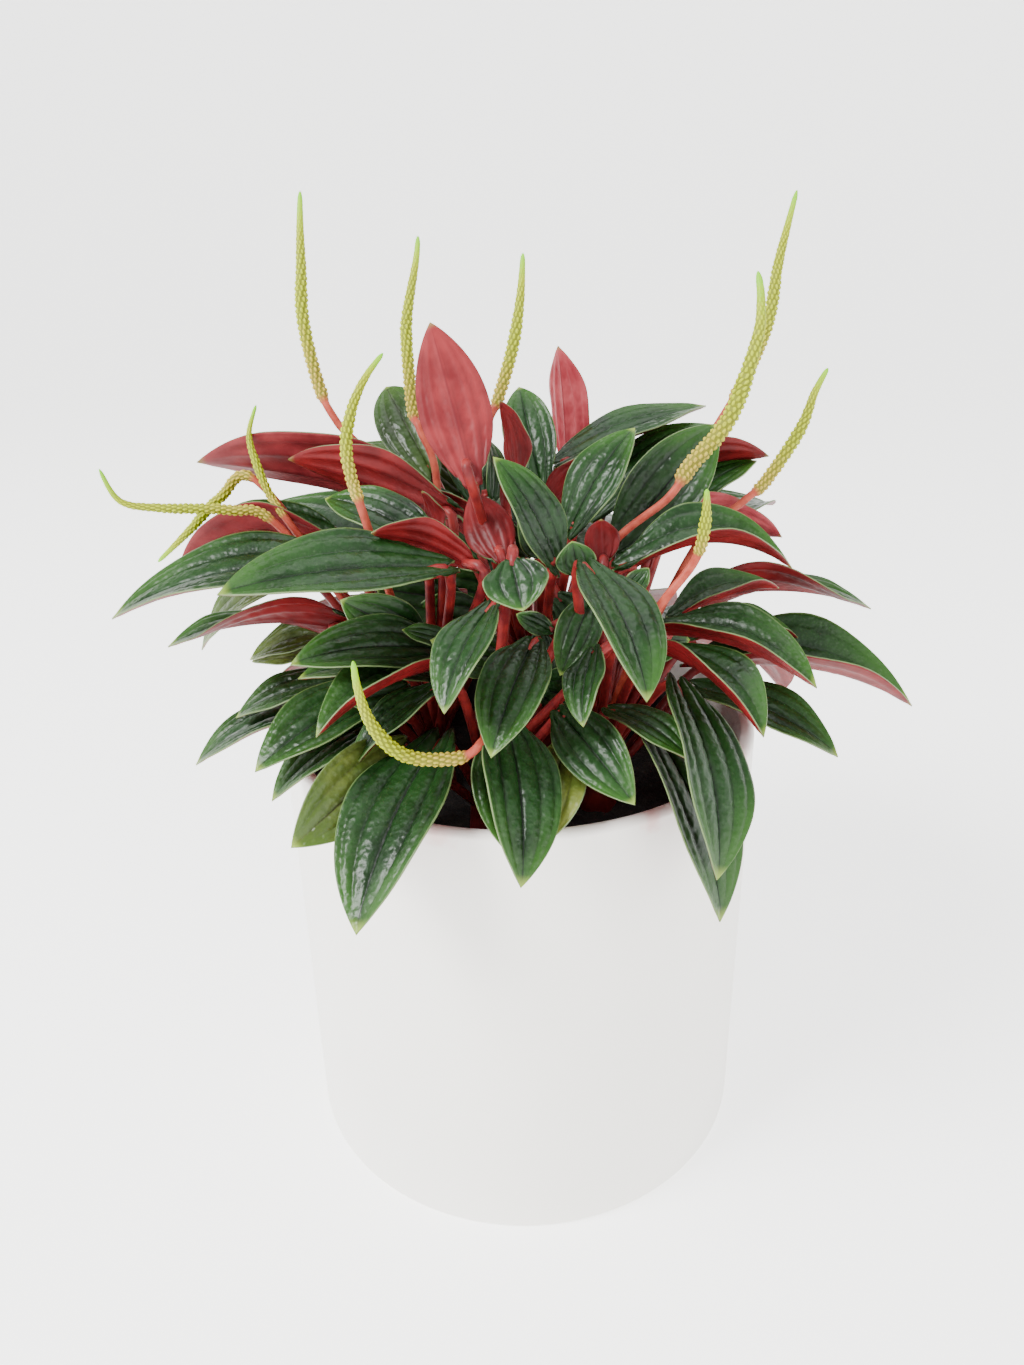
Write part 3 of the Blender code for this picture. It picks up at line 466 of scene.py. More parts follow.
def tube_shell(points, radii, sides=6):
    """Corner points and triangles of a round tube, for crossing tests."""
    corners = []
    faces = []
    for i, p in enumerate(points):
        ahead = points[min(i + 1, len(points) - 1)] - points[max(i - 1, 0)]
        side = ahead.orthogonal().normalized()
        other = ahead.normalized().cross(side)
        for j in range(sides):
            a = 2 * math.pi * j / sides
            corners.append(p + (side * math.cos(a) + other * math.sin(a)) * radii[i])
    for i in range(len(points) - 1):
        for j in range(sides):
            a = i * sides + j
            b = i * sides + (j + 1) % sides
            faces.append((a, b, b + sides))
            faces.append((a, b + sides, a + sides))
    return corners, faces


class Piece:
    """A leaf or a spike that can be moved along its sight lines to stand clear of the others."""

    def __init__(self, name, crown):
        self.name = name
        self.crown = crown
        self.push = 0.0
        self.remake()

    def remake(self):
        """Make the piece at its present push."""
        push = 1.0 + self.push * MM / PLANT_DISTANCE
        if self.name in LEAVES:
            self.leaf = seen_leaf(self.name, push)
        elif self.name in SPIKES:
            points, radii = spike_path(self.name)
            near = len(points) - 2
            self.points = [EYE + (p - EYE) * push if i < near else p for i, p in enumerate(points)]
            self.radii = radii
        if self.name in SPIKES:
            room = [r + 0.45 * MM for r in self.radii]
            self.trees = [BVHTree.FromPolygons(*tube_shell(self.points, room))]
        else:
            blade = shell(self.leaf.grid(), LEAF_THICKNESS + 0.7 * MM)
            stalk = stalk_path(self.leaf)
            stem = tube_shell(stalk, [STALK_RADIUS + 0.45 * MM] * len(stalk))
            self.trees = [BVHTree.FromPolygons(*blade), BVHTree.FromPolygons(*stem)]

    def crossings(self, other):
        """How many parts of two pieces cross."""
        return sum(1 for a in self.trees for b in other.trees if a.overlap(b))


class FarPiece(Piece):
    """A far leaf: it is lifted or lowered instead."""

    def __init__(self, name, leaf):
        self.start = leaf
        super().__init__(name, leaf.crown)

    def remake(self):
        """Make the leaf at its present lift."""
        s = self.start
        lift = Vector((0, 0, self.push * MM))
        self.leaf = Leaf(s.crown, s.joint + lift, s.tip + lift, s.width, s.face)
        super().remake()


def pot_walls():
    """Triangles of the pot's and the nursery pot's walls and the soil's top, for crossing tests."""
    rings = [(NURSERY_TOP_RADIUS - NURSERY_WALL - 1.5 * MM, SOIL_TOP + 1 * MM),
             (NURSERY_TOP_RADIUS - NURSERY_WALL - 1.5 * MM, NURSERY_RIM + 1 * MM),
             (POT_RADIUS - POT_WALL - 1 * MM, POT_HEIGHT + 0.6 * MM),
             (POT_RADIUS + 1 * MM, POT_HEIGHT + 0.6 * MM),
             (POT_RADIUS + 1 * MM, 0.0)]
    sides = 48
    points = []
    faces = []
    for radius, z in rings:
        for j in range(sides):
            a = 2 * math.pi * j / sides
            points.append(Vector((radius * math.cos(a), radius * math.sin(a), z)))
    for i in range(len(rings) - 1):
        for j in range(sides):
            a = i * sides + j
            b = i * sides + (j + 1) % sides
            faces.append((a, b, b + sides, a + sides))
    return BVHTree.FromPolygons(points, faces)


def stem_tree(crown):
    """Triangles of a crown's stem, for crossing tests."""
    foot = crown_foot(crown)
    top = foot + Vector((0, 0, CROWN_STEM))
    room = 0.5 * MM
    return BVHTree.FromPolygons(*tube_shell([foot, top], [CROWN_FOOT_RADIUS + room] * 2, 8))


# How far in mm a piece may be moved, in the order tried, and what a move or a crossing costs
PUSHES = [0, 2.5, -2.5, 5, -5, 8, -8, 11, -11, 15, -15, 20, -20]
MOVE_COST = 0.04
WALL_COST = 50
OTHER_CROWN_COST = 20


def settled_plant(sweeps=3):
    """All leaves and spikes, each moved the least that leaves it clear of the other crowns."""
    pieces = [Piece(name, row[0]) for name, row in SPIKES.items()]
    pieces += [Piece(name, row[0]) for name, row in LEAVES.items()]
    pieces += [FarPiece(name, leaf) for name, leaf in far_leaves()]
    walls = pot_walls()
    stems = {crown: stem_tree(crown) for crown in CROWNS}
    for _ in range(sweeps):
        for piece in pieces:
            best = None
            for push in PUSHES:
                piece.push = push
                piece.remake()
                cost = abs(push) * MOVE_COST
                cost += WALL_COST * sum(1 for tree in piece.trees if tree.overlap(walls))
                for crown, stem in stems.items():
                    if crown != piece.crown:
                        cost += OTHER_CROWN_COST * sum(1 for tree in piece.trees if tree.overlap(stem))
                for other in pieces:
                    if other is not piece:
                        hits = piece.crossings(other)
                        cost += hits * (1 if other.crown == piece.crown else OTHER_CROWN_COST)
                if best is None or cost < best[0] - 1e-9:
                    best = (cost, push)
            piece.push = best[1]
            piece.remake()
    return pieces


class Socket:
    """A shader socket that takes part in Python sums; each sum adds its Math node."""

    def __init__(self, shader, link):
        self.shader = shader
        self.link = link

    def __add__(self, other):
        return self.shader.math("ADD", self, other)

    def __radd__(self, other):
        return self.shader.math("ADD", other, self)

    def __mul__(self, other):
        return self.shader.math("MULTIPLY", self, other)


class Shader:
    """A material with one Principled shader, built from node calls."""

    def __init__(self, name, roughness=0.5, **constants):
        self.material = bpy.data.materials.new(name)
        self.material.use_nodes = True
        self.tree = self.material.node_tree
        self.surface = self.tree.nodes["Principled BSDF"]
        self.surface.inputs["Roughness"].default_value = roughness
        for key, value in constants.items():
            self.surface.inputs[key.replace("_", " ")].default_value = value
        self.place = self.node("TexCoord", out=3)

    def node(self, kind, settings=None, inputs=None, out=0):
        """A node of a type, with its settings first and then the values or links of its sockets."""
        node = self.tree.nodes.new("ShaderNode" + kind)
        for key, value in (settings or {}).items():
            setattr(node, key, value)
        for key, value in (inputs or {}).items():
            self.feed(node.inputs[key], value)
        return Socket(self, node.outputs[out])

    def feed(self, socket, value):
        """Link or set one socket."""
        if isinstance(value, Socket):
            self.tree.links.new(value.link, socket)
        elif socket.type == "RGBA":
            socket.default_value = (*value, 1)
        else:
            socket.default_value = value

    def math(self, operation, a, b=0.0):
        """A Math node."""
        return self.node("Math", {"operation": operation}, {0: a, 1: b})

    def ramp(self, value, low, high):
        """0 at low, 1 at high, eased between."""
        return self.node("MapRange", {"interpolation_type": "SMOOTHSTEP"},
                         {"Value": value, "From Min": low, "From Max": high})

    def mix(self, factor, a, b):
        """Colour a where factor is 0 and b where it is 1."""
        return self.node("Mix", {"data_type": "RGBA"}, {0: factor, 6: a, 7: b}, out=2)

    def noise(self, scale, detail=3.0, roughness=0.55):
        """A noise texture over the place on the object, in metres."""
        return self.node("TexNoise", None, {"Vector": self.place, "Scale": scale, "Detail": detail,
                                            "Roughness": roughness})

    def attribute(self, name):
        """A number that the mesh carries at each corner."""
        return self.node("Attribute", {"attribute_name": name}, out=2)

    def bump(self, height, distance, strength=1.0, under=None):
        """A bump, laid over another one where there is one."""
        inputs = {"Height": height, "Distance": distance, "Strength": strength}
        if under is not None:
            inputs["Normal"] = under
        return self.node("Bump", None, inputs)

    def set(self, **links):
        """Feed the shader and give back the material."""
        for key, value in links.items():
            self.feed(self.surface.inputs[key.replace("_", " ")], value)
        return self.material


def leaf_top_material(settings):
    """Dark ridged upper side: grooves darkened nearly to black by painted shade, green ridges partly
    lightened by painted light, pale margin, yellow-green tip.
    """
    s = Shader("leaf_upper_side", roughness=0.34, Specular_IOR_Level=0.28)
    along = s.attribute("along")
    across = s.attribute("across")
    height = s.attribute("ridge")
    tone = s.attribute("tone")
    edge = s.math("ABSOLUTE", across)
    cloud = s.noise(90.0, 3.0)
    fine = s.noise(900.0, 2.0)
    # Dark and green are mixed partly at random and partly by ridge height: the lighter ridges are partly
    # painted light.
    body = s.mix(s.ramp(cloud + height * 0.35, 0.45, 0.9), settings.leaf_dark, settings.leaf_green)
    body = s.mix(s.ramp(along * 0.9 + edge * 0.35 + cloud * 0.25, 0.75, 1.3), body,
                 settings.leaf_pale)
    # Painted shade: the grooves are darkened nearly to black.
    body = s.mix(s.ramp(height, 0.5, 0.05) * 0.9, body, (0.002, 0.005, 0.002))
    old = s.mix(s.ramp(cloud, 0.35, 0.7), (0.07, 0.105, 0.015), (0.14, 0.165, 0.025))
    # Painted shade: on yellowed leaves the grooves are darkened to a dark brown.
    old = s.mix(s.ramp(height, 0.3, 0.0) * 0.6, old, (0.10, 0.06, 0.02))
    body = s.mix(tone, body, old)
    tip = s.ramp(along, 0.93, 1.0)
    body = s.mix(tip * 0.8, body, (0.26, 0.36, 0.05))
    body = s.mix(s.ramp(edge, 0.97, 0.995) * 0.7, body, (0.12, 0.19, 0.06))
    body = s.mix(s.ramp(fine, 0.55, 0.8) * 0.15, body, (0.10, 0.15, 0.08))
    rough = 0.30 + s.ramp(cloud, 0.3, 0.7) * 0.12 + s.ramp(height, 0.4, 0.0) * 0.25
    cells = s.node("TexVoronoi", {"feature": "SMOOTH_F1"},
                   {"Vector": s.place, "Scale": 700.0, "Smoothness": 0.6})
    normal = s.bump(cells, 0.0003, 0.6, s.bump(fine, 0.00015, 0.5))
    return s.set(Base_Color=body, Roughness=rough, Normal=normal)


def leaf_under_material(settings):
    """Crimson underside with darker veins along it."""
    s = Shader("leaf_underside", roughness=0.45, Specular_IOR_Level=0.2)
    height = s.attribute("ridge")
    tone = s.attribute("tone")
    flush = s.attribute("flush")
    along = s.attribute("along")
    cloud = s.noise(120.0, 3.0)
    fine = s.noise(1100.0, 2.0)
    body = s.mix(s.ramp(cloud, 0.3, 0.7), settings.under_deep, settings.under_red)
    body = s.mix(flush, body, s.mix(s.ramp(cloud, 0.3, 0.7), (0.26, 0.025, 0.035), (0.40, 0.07, 0.08)))
    body = s.mix(s.ramp(height, 0.3, 0.0) * 0.55, body, (0.10, 0.008, 0.012))
    body = s.mix(tone, body, (0.30, 0.30, 0.12))
    body = s.mix(s.ramp(along, 0.95, 1.0) * 0.6, body, (0.20, 0.22, 0.06))
    normal = s.bump(fine, 0.00012, 0.5)
    return s.set(Base_Color=body, Normal=normal)


def leaf_margin_material():
    """The thin pale green margin."""
    s = Shader("leaf_margin", roughness=0.5)
    body = s.mix(s.noise(200.0), (0.06, 0.10, 0.03), (0.14, 0.20, 0.07))
    return s.set(Base_Color=body)


def stalk_material(settings):
    """Red leaf stalk, a little paler in streaks, and darkened low down near the soil by painted shade under
    the leaves.
    """
    s = Shader("leaf_stalk", roughness=0.42, Specular_IOR_Level=0.25)
    streak = s.noise(160.0, 3.0)
    fine = s.noise(1400.0, 2.0)
    body = s.mix(s.ramp(streak, 0.3, 0.75), settings.stalk_deep, settings.stalk_red)
    # Painted shade: the stalks darken towards the soil, under the leaves.
    depth = s.node("SeparateXYZ", None, {0: s.place}, out=2)
    body = s.mix(s.ramp(depth, 0.165, 0.12) * 0.6, body, (0.05, 0.008, 0.008))
    normal = s.bump(fine, 0.0001, 0.5)
    return s.set(Base_Color=body, Normal=normal)


def spike_material(settings):
    """Flower spike: lime tip, yellow-green bumps, tan foot, then a salmon stalk."""
    s = Shader("flower_spike", roughness=0.5, Specular_IOR_Level=0.2)
    along = s.attribute("along")
    bump = s.attribute("bump")
    stem = s.attribute("stem")
    grain = s.noise(700.0, 2.0)
    flesh = s.mix(s.ramp(along + grain * 0.15, 0.0, 0.32), settings.spike_lime,
                  settings.spike_yellow)
    flesh = s.mix(s.ramp(along + grain * 0.3, 0.7, 1.1), flesh, settings.spike_tan)
    flesh = s.mix(s.ramp(bump, 0.5, 0.05) * s.ramp(along, 0.0, 0.3) * 0.8, flesh, (0.10, 0.11, 0.004))
    flesh = s.mix(s.ramp(bump, 0.86, 0.98) * s.ramp(along, 0.3, 0.6) * 0.8, flesh, (0.16, 0.07, 0.015))
    stalk = s.mix(s.ramp(s.noise(300.0), 0.3, 0.7), (0.26, 0.03, 0.018), (0.38, 0.07, 0.04))
    body = s.mix(stem, flesh, stalk)
    normal = s.bump(grain, 0.0001, 0.4)
    return s.set(Base_Color=body, Normal=normal)


def glaze_material(settings):
    """Satin white glaze, slightly warm, with faint clouding and a few pink smears at the lip."""
    s = Shader("pot_glaze", roughness=0.38, Specular_IOR_Level=0.5)
    cloud = s.noise(9.0, 4.0)
    speck = s.noise(420.0, 3.0)
    white = settings.glaze
    body = s.mix(s.ramp(cloud, 0.35, 0.7), white, tuple(c * 0.96 for c in white))
    smears = None
    for spot, size in PINK_SMEARS:
        away = s.node("VectorMath", {"operation": "DISTANCE"}, {0: s.place, 1: spot}, out=1)
        mask = s.ramp(away + s.noise(260.0) * 0.008, size + 0.004, 0.004)
        smears = mask if smears is None else s.math("MAXIMUM", smears, mask)
    body = s.mix(smears * 0.5, body, (0.72, 0.38, 0.36))
    rough = 0.34 + s.ramp(cloud, 0.3, 0.7) * 0.08
    normal = s.bump(s.noise(45.0, 3.0), 0.0003, 0.35, s.bump(speck, 0.00006, 0.3))
    return s.set(Base_Color=body, Roughness=rough, Normal=normal)


def plastic_material():
    """Matt black plastic of the inner pot, a little dusty."""
    s = Shader("nursery_plastic", roughness=0.5)
    dust = s.noise(60.0, 4.0)
    body = s.mix(s.ramp(dust, 0.5, 0.8) * 0.5, (0.006, 0.006, 0.007), (0.03, 0.027, 0.024))
    rough = 0.42 + dust * 0.25
    return s.set(Base_Color=body, Roughness=rough, Normal=s.bump(s.noise(900.0), 0.0001, 0.3))


def soil_material():
    """Dark, damp potting soil with brown fibres."""
    s = Shader("potting_soil", roughness=0.95)
    grain = s.noise(330.0, 5.0, 0.7)
    lump = s.noise(70.0, 3.0)
    body = s.mix(s.ramp(grain, 0.4, 0.75), (0.002, 0.0015, 0.001), (0.016, 0.010, 0.006))
    body = s.mix(s.ramp(lump, 0.5, 0.8) * 0.4, body, (0.006, 0.004, 0.003))
    return s.set(Base_Color=body, Normal=s.bump(grain, 0.0012, 0.9))


def floor_material(settings):
    """Pale matt backdrop."""
    s = Shader("pale_floor", roughness=0.85, Specular_IOR_Level=0.2, Emission_Strength=1.7)
    s.surface.inputs["Emission Color"].default_value = (1.0, 1.0, 0.99, 1)
    tone = s.noise(1.2, 2.0)
    floor = settings.floor
    body = s.mix(tone, floor, tuple(c * 0.985 for c in floor))
    return s.set(Base_Color=body)


def deselect():
    """Nothing selected, so that an operator acts on the new piece alone."""
    for obj in bpy.context.view_layer.objects:
        obj.select_set(False)


def finish_piece(obj, name, nodes, materials):
    """Name a piece, give it its materials, and say what it rides on and stands for."""
    obj.name = name
    obj.data.name = name
    for mat in materials:
        obj.data.materials.append(mat)
    for polygon in obj.data.polygons:
        polygon.use_smooth = True
    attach(obj, "root")
    if nodes:
        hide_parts(*nodes)
    return obj


def put_attribute(mesh, name, values):
    """A number for each corner point of a mesh, for the materials to read."""
    layer = mesh.attributes.new(name, "FLOAT", "POINT")
    layer.data.foreach_set("value", np.asarray(values, dtype=np.float32))


def joined(name, parts):
    """One mesh object from lists of points, faces, material numbers and point attributes."""
    mesh = bpy.data.meshes.new(name)
    points = np.concatenate([p["points"] for p in parts])
    faces = []
    slots = []
    start = 0
    for p in parts:
        faces.append(p["faces"] + start)
        slots.append(p["slots"])
        start += len(p["points"])
    faces = np.concatenate(faces)
    slots = np.concatenate(slots)
    mesh.vertices.add(len(points))
    mesh.vertices.foreach_set("co", points.astype(np.float32).ravel())
    mesh.loops.add(faces.size)
    mesh.loops.foreach_set("vertex_index", faces.astype(np.int32).ravel())
    mesh.polygons.add(len(faces))
    mesh.polygons.foreach_set("loop_start", np.arange(0, faces.size, 4, dtype=np.int32))
    mesh.polygons.foreach_set("material_index", slots.astype(np.int32))
    mesh.update(calc_edges=True)
    for key in parts[0]["marks"]:
        put_attribute(mesh, key, np.concatenate([p["marks"][key] for p in parts]))
    mesh.validate()
    obj = bpy.data.objects.new(name, mesh)
    bpy.context.scene.collection.objects.link(obj)
    return obj


# Where the grooves of half a blade run, from midrib to edge, and how high it bulges between them
GROOVES = (0.0, 0.5, 0.82, 1.0)
BULGES = (1.7, 1.35, 0.5)

# Faces of a blade across and along; its wrinkles, as a pitch in mm and a share of their height
LARGE_LEAF = 30 * MM
LARGE_GRID = (36, 40)
SMALL_GRID = (26, 26)
WRINKLES = ((5.2, 0.8), (3.1, 0.8), (1.9, 0.5))
WRINKLE_HEIGHT = 0.16 * MM
EDGE_WAVE = 0.7 * MM

# Flower spikes: their faces, and the small bumps round and along them
SPIKE_SIDES = 40
SPIKE_STEP = 0.29 * MM
BUMPS_ROUND = 7
BUMP_PITCH = 3.0 * MM
TIP_PITCH = 1.8 * MM
STALK_SIDES = 12


def ridge_profile(edge):
    """How high the blade bulges: 0 in a groove and 1 on a ridge, and the same in mm."""
    height = np.zeros_like(edge)
    lift = np.zeros_like(edge)
    for low, high, bulge in zip(GROOVES[:-1], GROOVES[1:], BULGES):
        inside = (edge >= low) & (edge <= high)
        s = np.clip((edge - low) / (high - low), 0, 1)
        dome = (4 * s * (1 - s)) ** 0.55
        if high == 1.0:
            dome = np.where(s > 0.5, 0.75 + 0.25 * dome, dome)
        height = np.where(inside, dome, height)
        lift = np.where(inside, dome * bulge, lift)
    return height, lift


def fine_blade(leaf, seed, tone, flush):
    """One thick, ridged and wrinkled blade; tone and flush say how yellow and how pink it is."""
    draw = random.Random(seed)
    wide, long = LARGE_GRID if leaf.length > LARGE_LEAF else SMALL_GRID
    u, v = np.meshgrid(np.linspace(0, 1, long + 1) ** 1.05, np.linspace(-1, 1, wide + 1), indexing="ij")
    v = np.sign(v) * np.abs(v) ** 0.92
    edge = np.abs(v)
    shape = np.array([outline(x) for x in u[:, 0]])[:, None] * np.ones_like(v)
    half = leaf.width / 2 * shape
    lobe = -0.1 * leaf.length * np.sin(np.pi * np.minimum(1, edge)) * (1 - u) ** 8
    arch = leaf.arch * leaf.length * 4 * u * (1 - u)
    cup = leaf.cup * leaf.width * v * v * shape
    height, lift = ridge_profile(edge)
    size = min(1.0, leaf.width / (25 * MM))
    fade = np.sin(np.pi * np.minimum(1, u + 0.10)) ** 0.5 * (1 - u ** 6)
    ripple = np.zeros_like(v)
    reach = u * leaf.length / MM
    slant = edge * leaf.width / MM * 0.55
    side = np.sign(v)
    for pitch, share in WRINKLES:
        phase = draw.uniform(0, 6.28)
        other = draw.uniform(0, 6.28)
        wander = 1.2 * np.sin(reach / (pitch * 2.3) + other + 2.0 * side) + 0.8 * np.sin(v * 9 + phase)
        ripple += share * np.sin(2 * np.pi * (reach - slant) / pitch + wander + phase * side)
    quilt = WRINKLE_HEIGHT * ripple * height ** 1.3 * np.where(edge > 0.8, 0.25, 1.0)
    wave = EDGE_WAVE * np.sin(u * draw.uniform(7, 11) + draw.uniform(0, 6)) * edge ** 3 * side
    rise = cup + ((lift - 1.1) * MM * size + quilt * size + wave) * fade
    joint = np.array(leaf.joint)
    along = np.array(leaf.along)
    face = np.array([tuple(leaf.facing(x)) for x in u[:, 0]])[:, None, :]
    across = np.cross(face, along)
    middle = (joint + along * (u * leaf.length + lobe)[..., None] + across * (v * half)[..., None]
              + face * rise[..., None] + np.array(leaf.middle) * arch[..., None])
    du = np.gradient(middle, axis=0)
    dv = np.gradient(middle, axis=1)
    normal = np.cross(du, dv)
    length = np.linalg.norm(normal, axis=-1, keepdims=True)
    normal = np.where(length > 1e-12, normal / np.maximum(length, 1e-12), face)
    thick = LEAF_THICKNESS / 2 * (1 - 0.55 * edge ** 6)[..., None]
    thick = thick * np.where(u > 0.97, 0.6, 1.0)[..., None]
    top = middle + normal * thick
    low = middle - normal * thick
    rows, columns = u.shape
    count = rows * columns
    number = np.arange(count).reshape(rows, columns)
    a, b = number[:-1, :-1].ravel(), number[:-1, 1:].ravel()
    c, d = number[1:, 1:].ravel(), number[1:, :-1].ravel()
    upper = np.stack([d, c, b, a], 1)
    under = np.stack([a, b, c, d], 1) + count
    ring = np.concatenate([number[0, :], number[1:, -1], number[-1, -2::-1], number[-2:0:-1, 0]])
    after = np.roll(ring, -1)
    rim = np.stack([ring, after, after + count, ring + count], 1)
    faces = np.concatenate([upper, under, rim])
    slots = np.concatenate([np.zeros(len(upper)), np.ones(len(under)), np.full(len(rim), 2)])
    marks = {
        "along": np.tile(u.ravel(), 2),
        "across": np.tile(v.ravel(), 2),
        "ridge": np.tile((height * (0.85 + 0.15 * np.clip(ripple, -1, 1))).ravel(), 2),
        "tone": np.full(2 * count, tone),
        "flush": np.full(2 * count, flush),
    }
    points = np.concatenate([top.reshape(-1, 3), low.reshape(-1, 3)])
    return {"points": points, "faces": faces, "slots": slots, "marks": marks}


def smooth_path(points, values, step):
    """A smooth line through points, with the values that go with them, at even steps."""
    p = np.array([tuple(x) for x in points], dtype=float)
    w = np.array(values, dtype=float)
    out = []
    outw = []
    for i in range(len(p) - 1):
        p0, p1, p2, p3 = p[max(i - 1, 0)], p[i], p[i + 1], p[min(i + 2, len(p) - 1)]
        span = np.linalg.norm(p2 - p1)
        t = np.linspace(0, 1, max(2, int(span / step) + 1))[:-1, None]
        out.append(0.5 * (2 * p1 + (p2 - p0) * t + (2 * p0 - 5 * p1 + 4 * p2 - p3) * t ** 2
                          + (3 * p1 - p0 - 3 * p2 + p3) * t ** 3))
        outw.append(w[i] + (w[i + 1] - w[i]) * t[:, 0])
    out.append(p[-1:])
    outw.append(w[-1:])
    return np.concatenate(out), np.concatenate(outw)


def fine_tube(path, radii, sides, relief=None):
    """Points and faces of a closed round tube; relief gives each point's share of its radius."""
    ahead = np.gradient(path, axis=0)
    ahead /= np.linalg.norm(ahead, axis=1, keepdims=True)
    side = np.cross(ahead, np.array([0.31, 0.12, 0.94]))
    side /= np.linalg.norm(side, axis=1, keepdims=True)
    other = np.cross(ahead, side)
    angle = np.arange(sides) / sides * 2 * np.pi
    radius = radii[:, None] * (relief if relief is not None else 1.0) * np.ones((len(path), sides))
    ring = side[:, None, :] * np.cos(angle)[None, :, None] + other[:, None, :] * np.sin(angle)[None, :, None]
    points = path[:, None, :] + ring * radius[..., None]
    rows = len(path)
    number = np.arange(rows * sides).reshape(rows, sides)
    nxt = np.roll(number, -1, axis=1)
    faces = np.stack([number[:-1].ravel(), nxt[:-1].ravel(), nxt[1:].ravel(), number[1:].ravel()], 1)
    caps = []
    for row, flip in ((0, True), (rows - 1, False)):
        line = number[row]
        half = sides // 2
        for k in range(half - 1):
            quad = [line[k], line[k + 1], line[sides - 2 - k], line[(sides - 1 - k) % sides]]
            caps.append(quad[::-1] if flip else quad)
    faces = np.concatenate([faces, np.array(caps)])
    return points.reshape(-1, 3), faces


def stalk_part(leaf):
    """One leaf stalk, a little thicker towards the crown."""
    points = stalk_path(leaf)
    values = [1.0, 1.1, 1.15, 1.2][:len(points)]
    path, swell = smooth_path(points, values, 1.6 * MM)
    grid, faces = fine_tube(path, STALK_RADIUS * swell, STALK_SIDES)
    marks = {"along": np.repeat(np.linspace(0, 1, len(path)), STALK_SIDES)}
    return {"points": grid, "faces": faces, "slots": np.zeros(len(faces)), "marks": marks}


def spike_part(name, points, radii):
    """One flower spike on its stalk, with its spiral of small bumps."""
    share = SPIKES[name][4]
    path, where = smooth_path(points, range(len(points)), SPIKE_STEP)
    at = np.clip(where / (len(points) - 3), 0, 1) / share
    thick = max(radii)
    run = np.concatenate([[0], np.cumsum(np.linalg.norm(np.diff(path, axis=0), axis=1))])
    total = run[np.searchsorted(at, 1.0, side="left").clip(0, len(run) - 1)]
    far = run / max(total, 1e-6)
    rounded_tip = np.sqrt(np.clip(1 - (1 - np.clip(far / 0.05, 0, 1)) ** 2, 0.02, 1))
    taper = 0.4 + 0.6 * np.clip(far / 0.5, 0, 1) ** 0.8
    stalk = np.clip((far - 0.98) / 0.04, 0, 1)
    radius = thick * 0.92 * rounded_tip * taper * (1 - stalk) + STALK_RADIUS * stalk
    pitch = BUMP_PITCH - (BUMP_PITCH - TIP_PITCH) * np.clip(1 - far / 0.45, 0, 1)
    climb = np.concatenate([[0], np.cumsum(np.diff(run) / pitch[1:])])[:, None] * 2 * np.pi
    angle = np.arange(SPIKE_SIDES) / SPIKE_SIDES * 2 * np.pi
    turn = angle[None, :] * BUMPS_ROUND + 0.3 * climb
    bumps = np.clip(np.cos(turn) * np.cos(climb), 0, 1) ** 0.7
    rough = np.clip((far - 0.05) / 0.45, 0.15, 1) * (1 - stalk)
    relief = 0.9 + (0.36 * bumps - 0.06) * rough[:, None]
    grid, faces = fine_tube(path, radius, SPIKE_SIDES, relief)
    marks = {
        "along": np.repeat(np.clip(far, 0, 1), SPIKE_SIDES),
        "stem": np.repeat(stalk, SPIKE_SIDES),
        "bump": bumps.ravel(),
    }
    return {"points": grid, "faces": faces, "slots": np.zeros(len(faces)), "marks": marks}


def turned_piece(profile, steps):
    """Turn a profile of radius and height: a circle, extruded and resized ring after ring."""
    least = 0.02 * MM
    rings = [(max(radius, least), z) for radius, z in profile]
    deselect()
    bpy.ops.mesh.primitive_circle_add(vertices=steps, radius=rings[0][0], location=(0, 0, rings[0][1]))
    obj = bpy.context.object
    bpy.ops.object.mode_set(mode="EDIT")
    bpy.ops.mesh.select_all(action="SELECT")
    for (radius, z), (next_radius, next_z) in zip(rings, rings[1:]):
        bpy.ops.mesh.extrude_region_move(TRANSFORM_OT_translate={"value": (0, 0, next_z - z)})
        grow = next_radius / radius
        bpy.ops.transform.resize(value=(grow, grow, 1))
    bpy.ops.mesh.select_all(action="SELECT")
    bpy.ops.mesh.remove_doubles(threshold=0.05 * MM)
    bpy.ops.mesh.normals_make_consistent(inside=False)
    bpy.ops.object.mode_set(mode="OBJECT")
    bpy.ops.object.transform_apply(location=True, rotation=True, scale=True)
    return obj


def round_corner(centre, radius, start, end, steps=6):
    """Points of an arc in the profile plane."""
    return [(centre[0] + radius * math.cos(math.radians(start + (end - start) * i / steps)),
             centre[1] + radius * math.sin(math.radians(start + (end - start) * i / steps)))
            for i in range(steps + 1)]


def colour(name, note, value):
    """A colour that a user may set."""
    return FloatVectorProperty(name=name, description=note, size=3, subtype="COLOR", default=value)


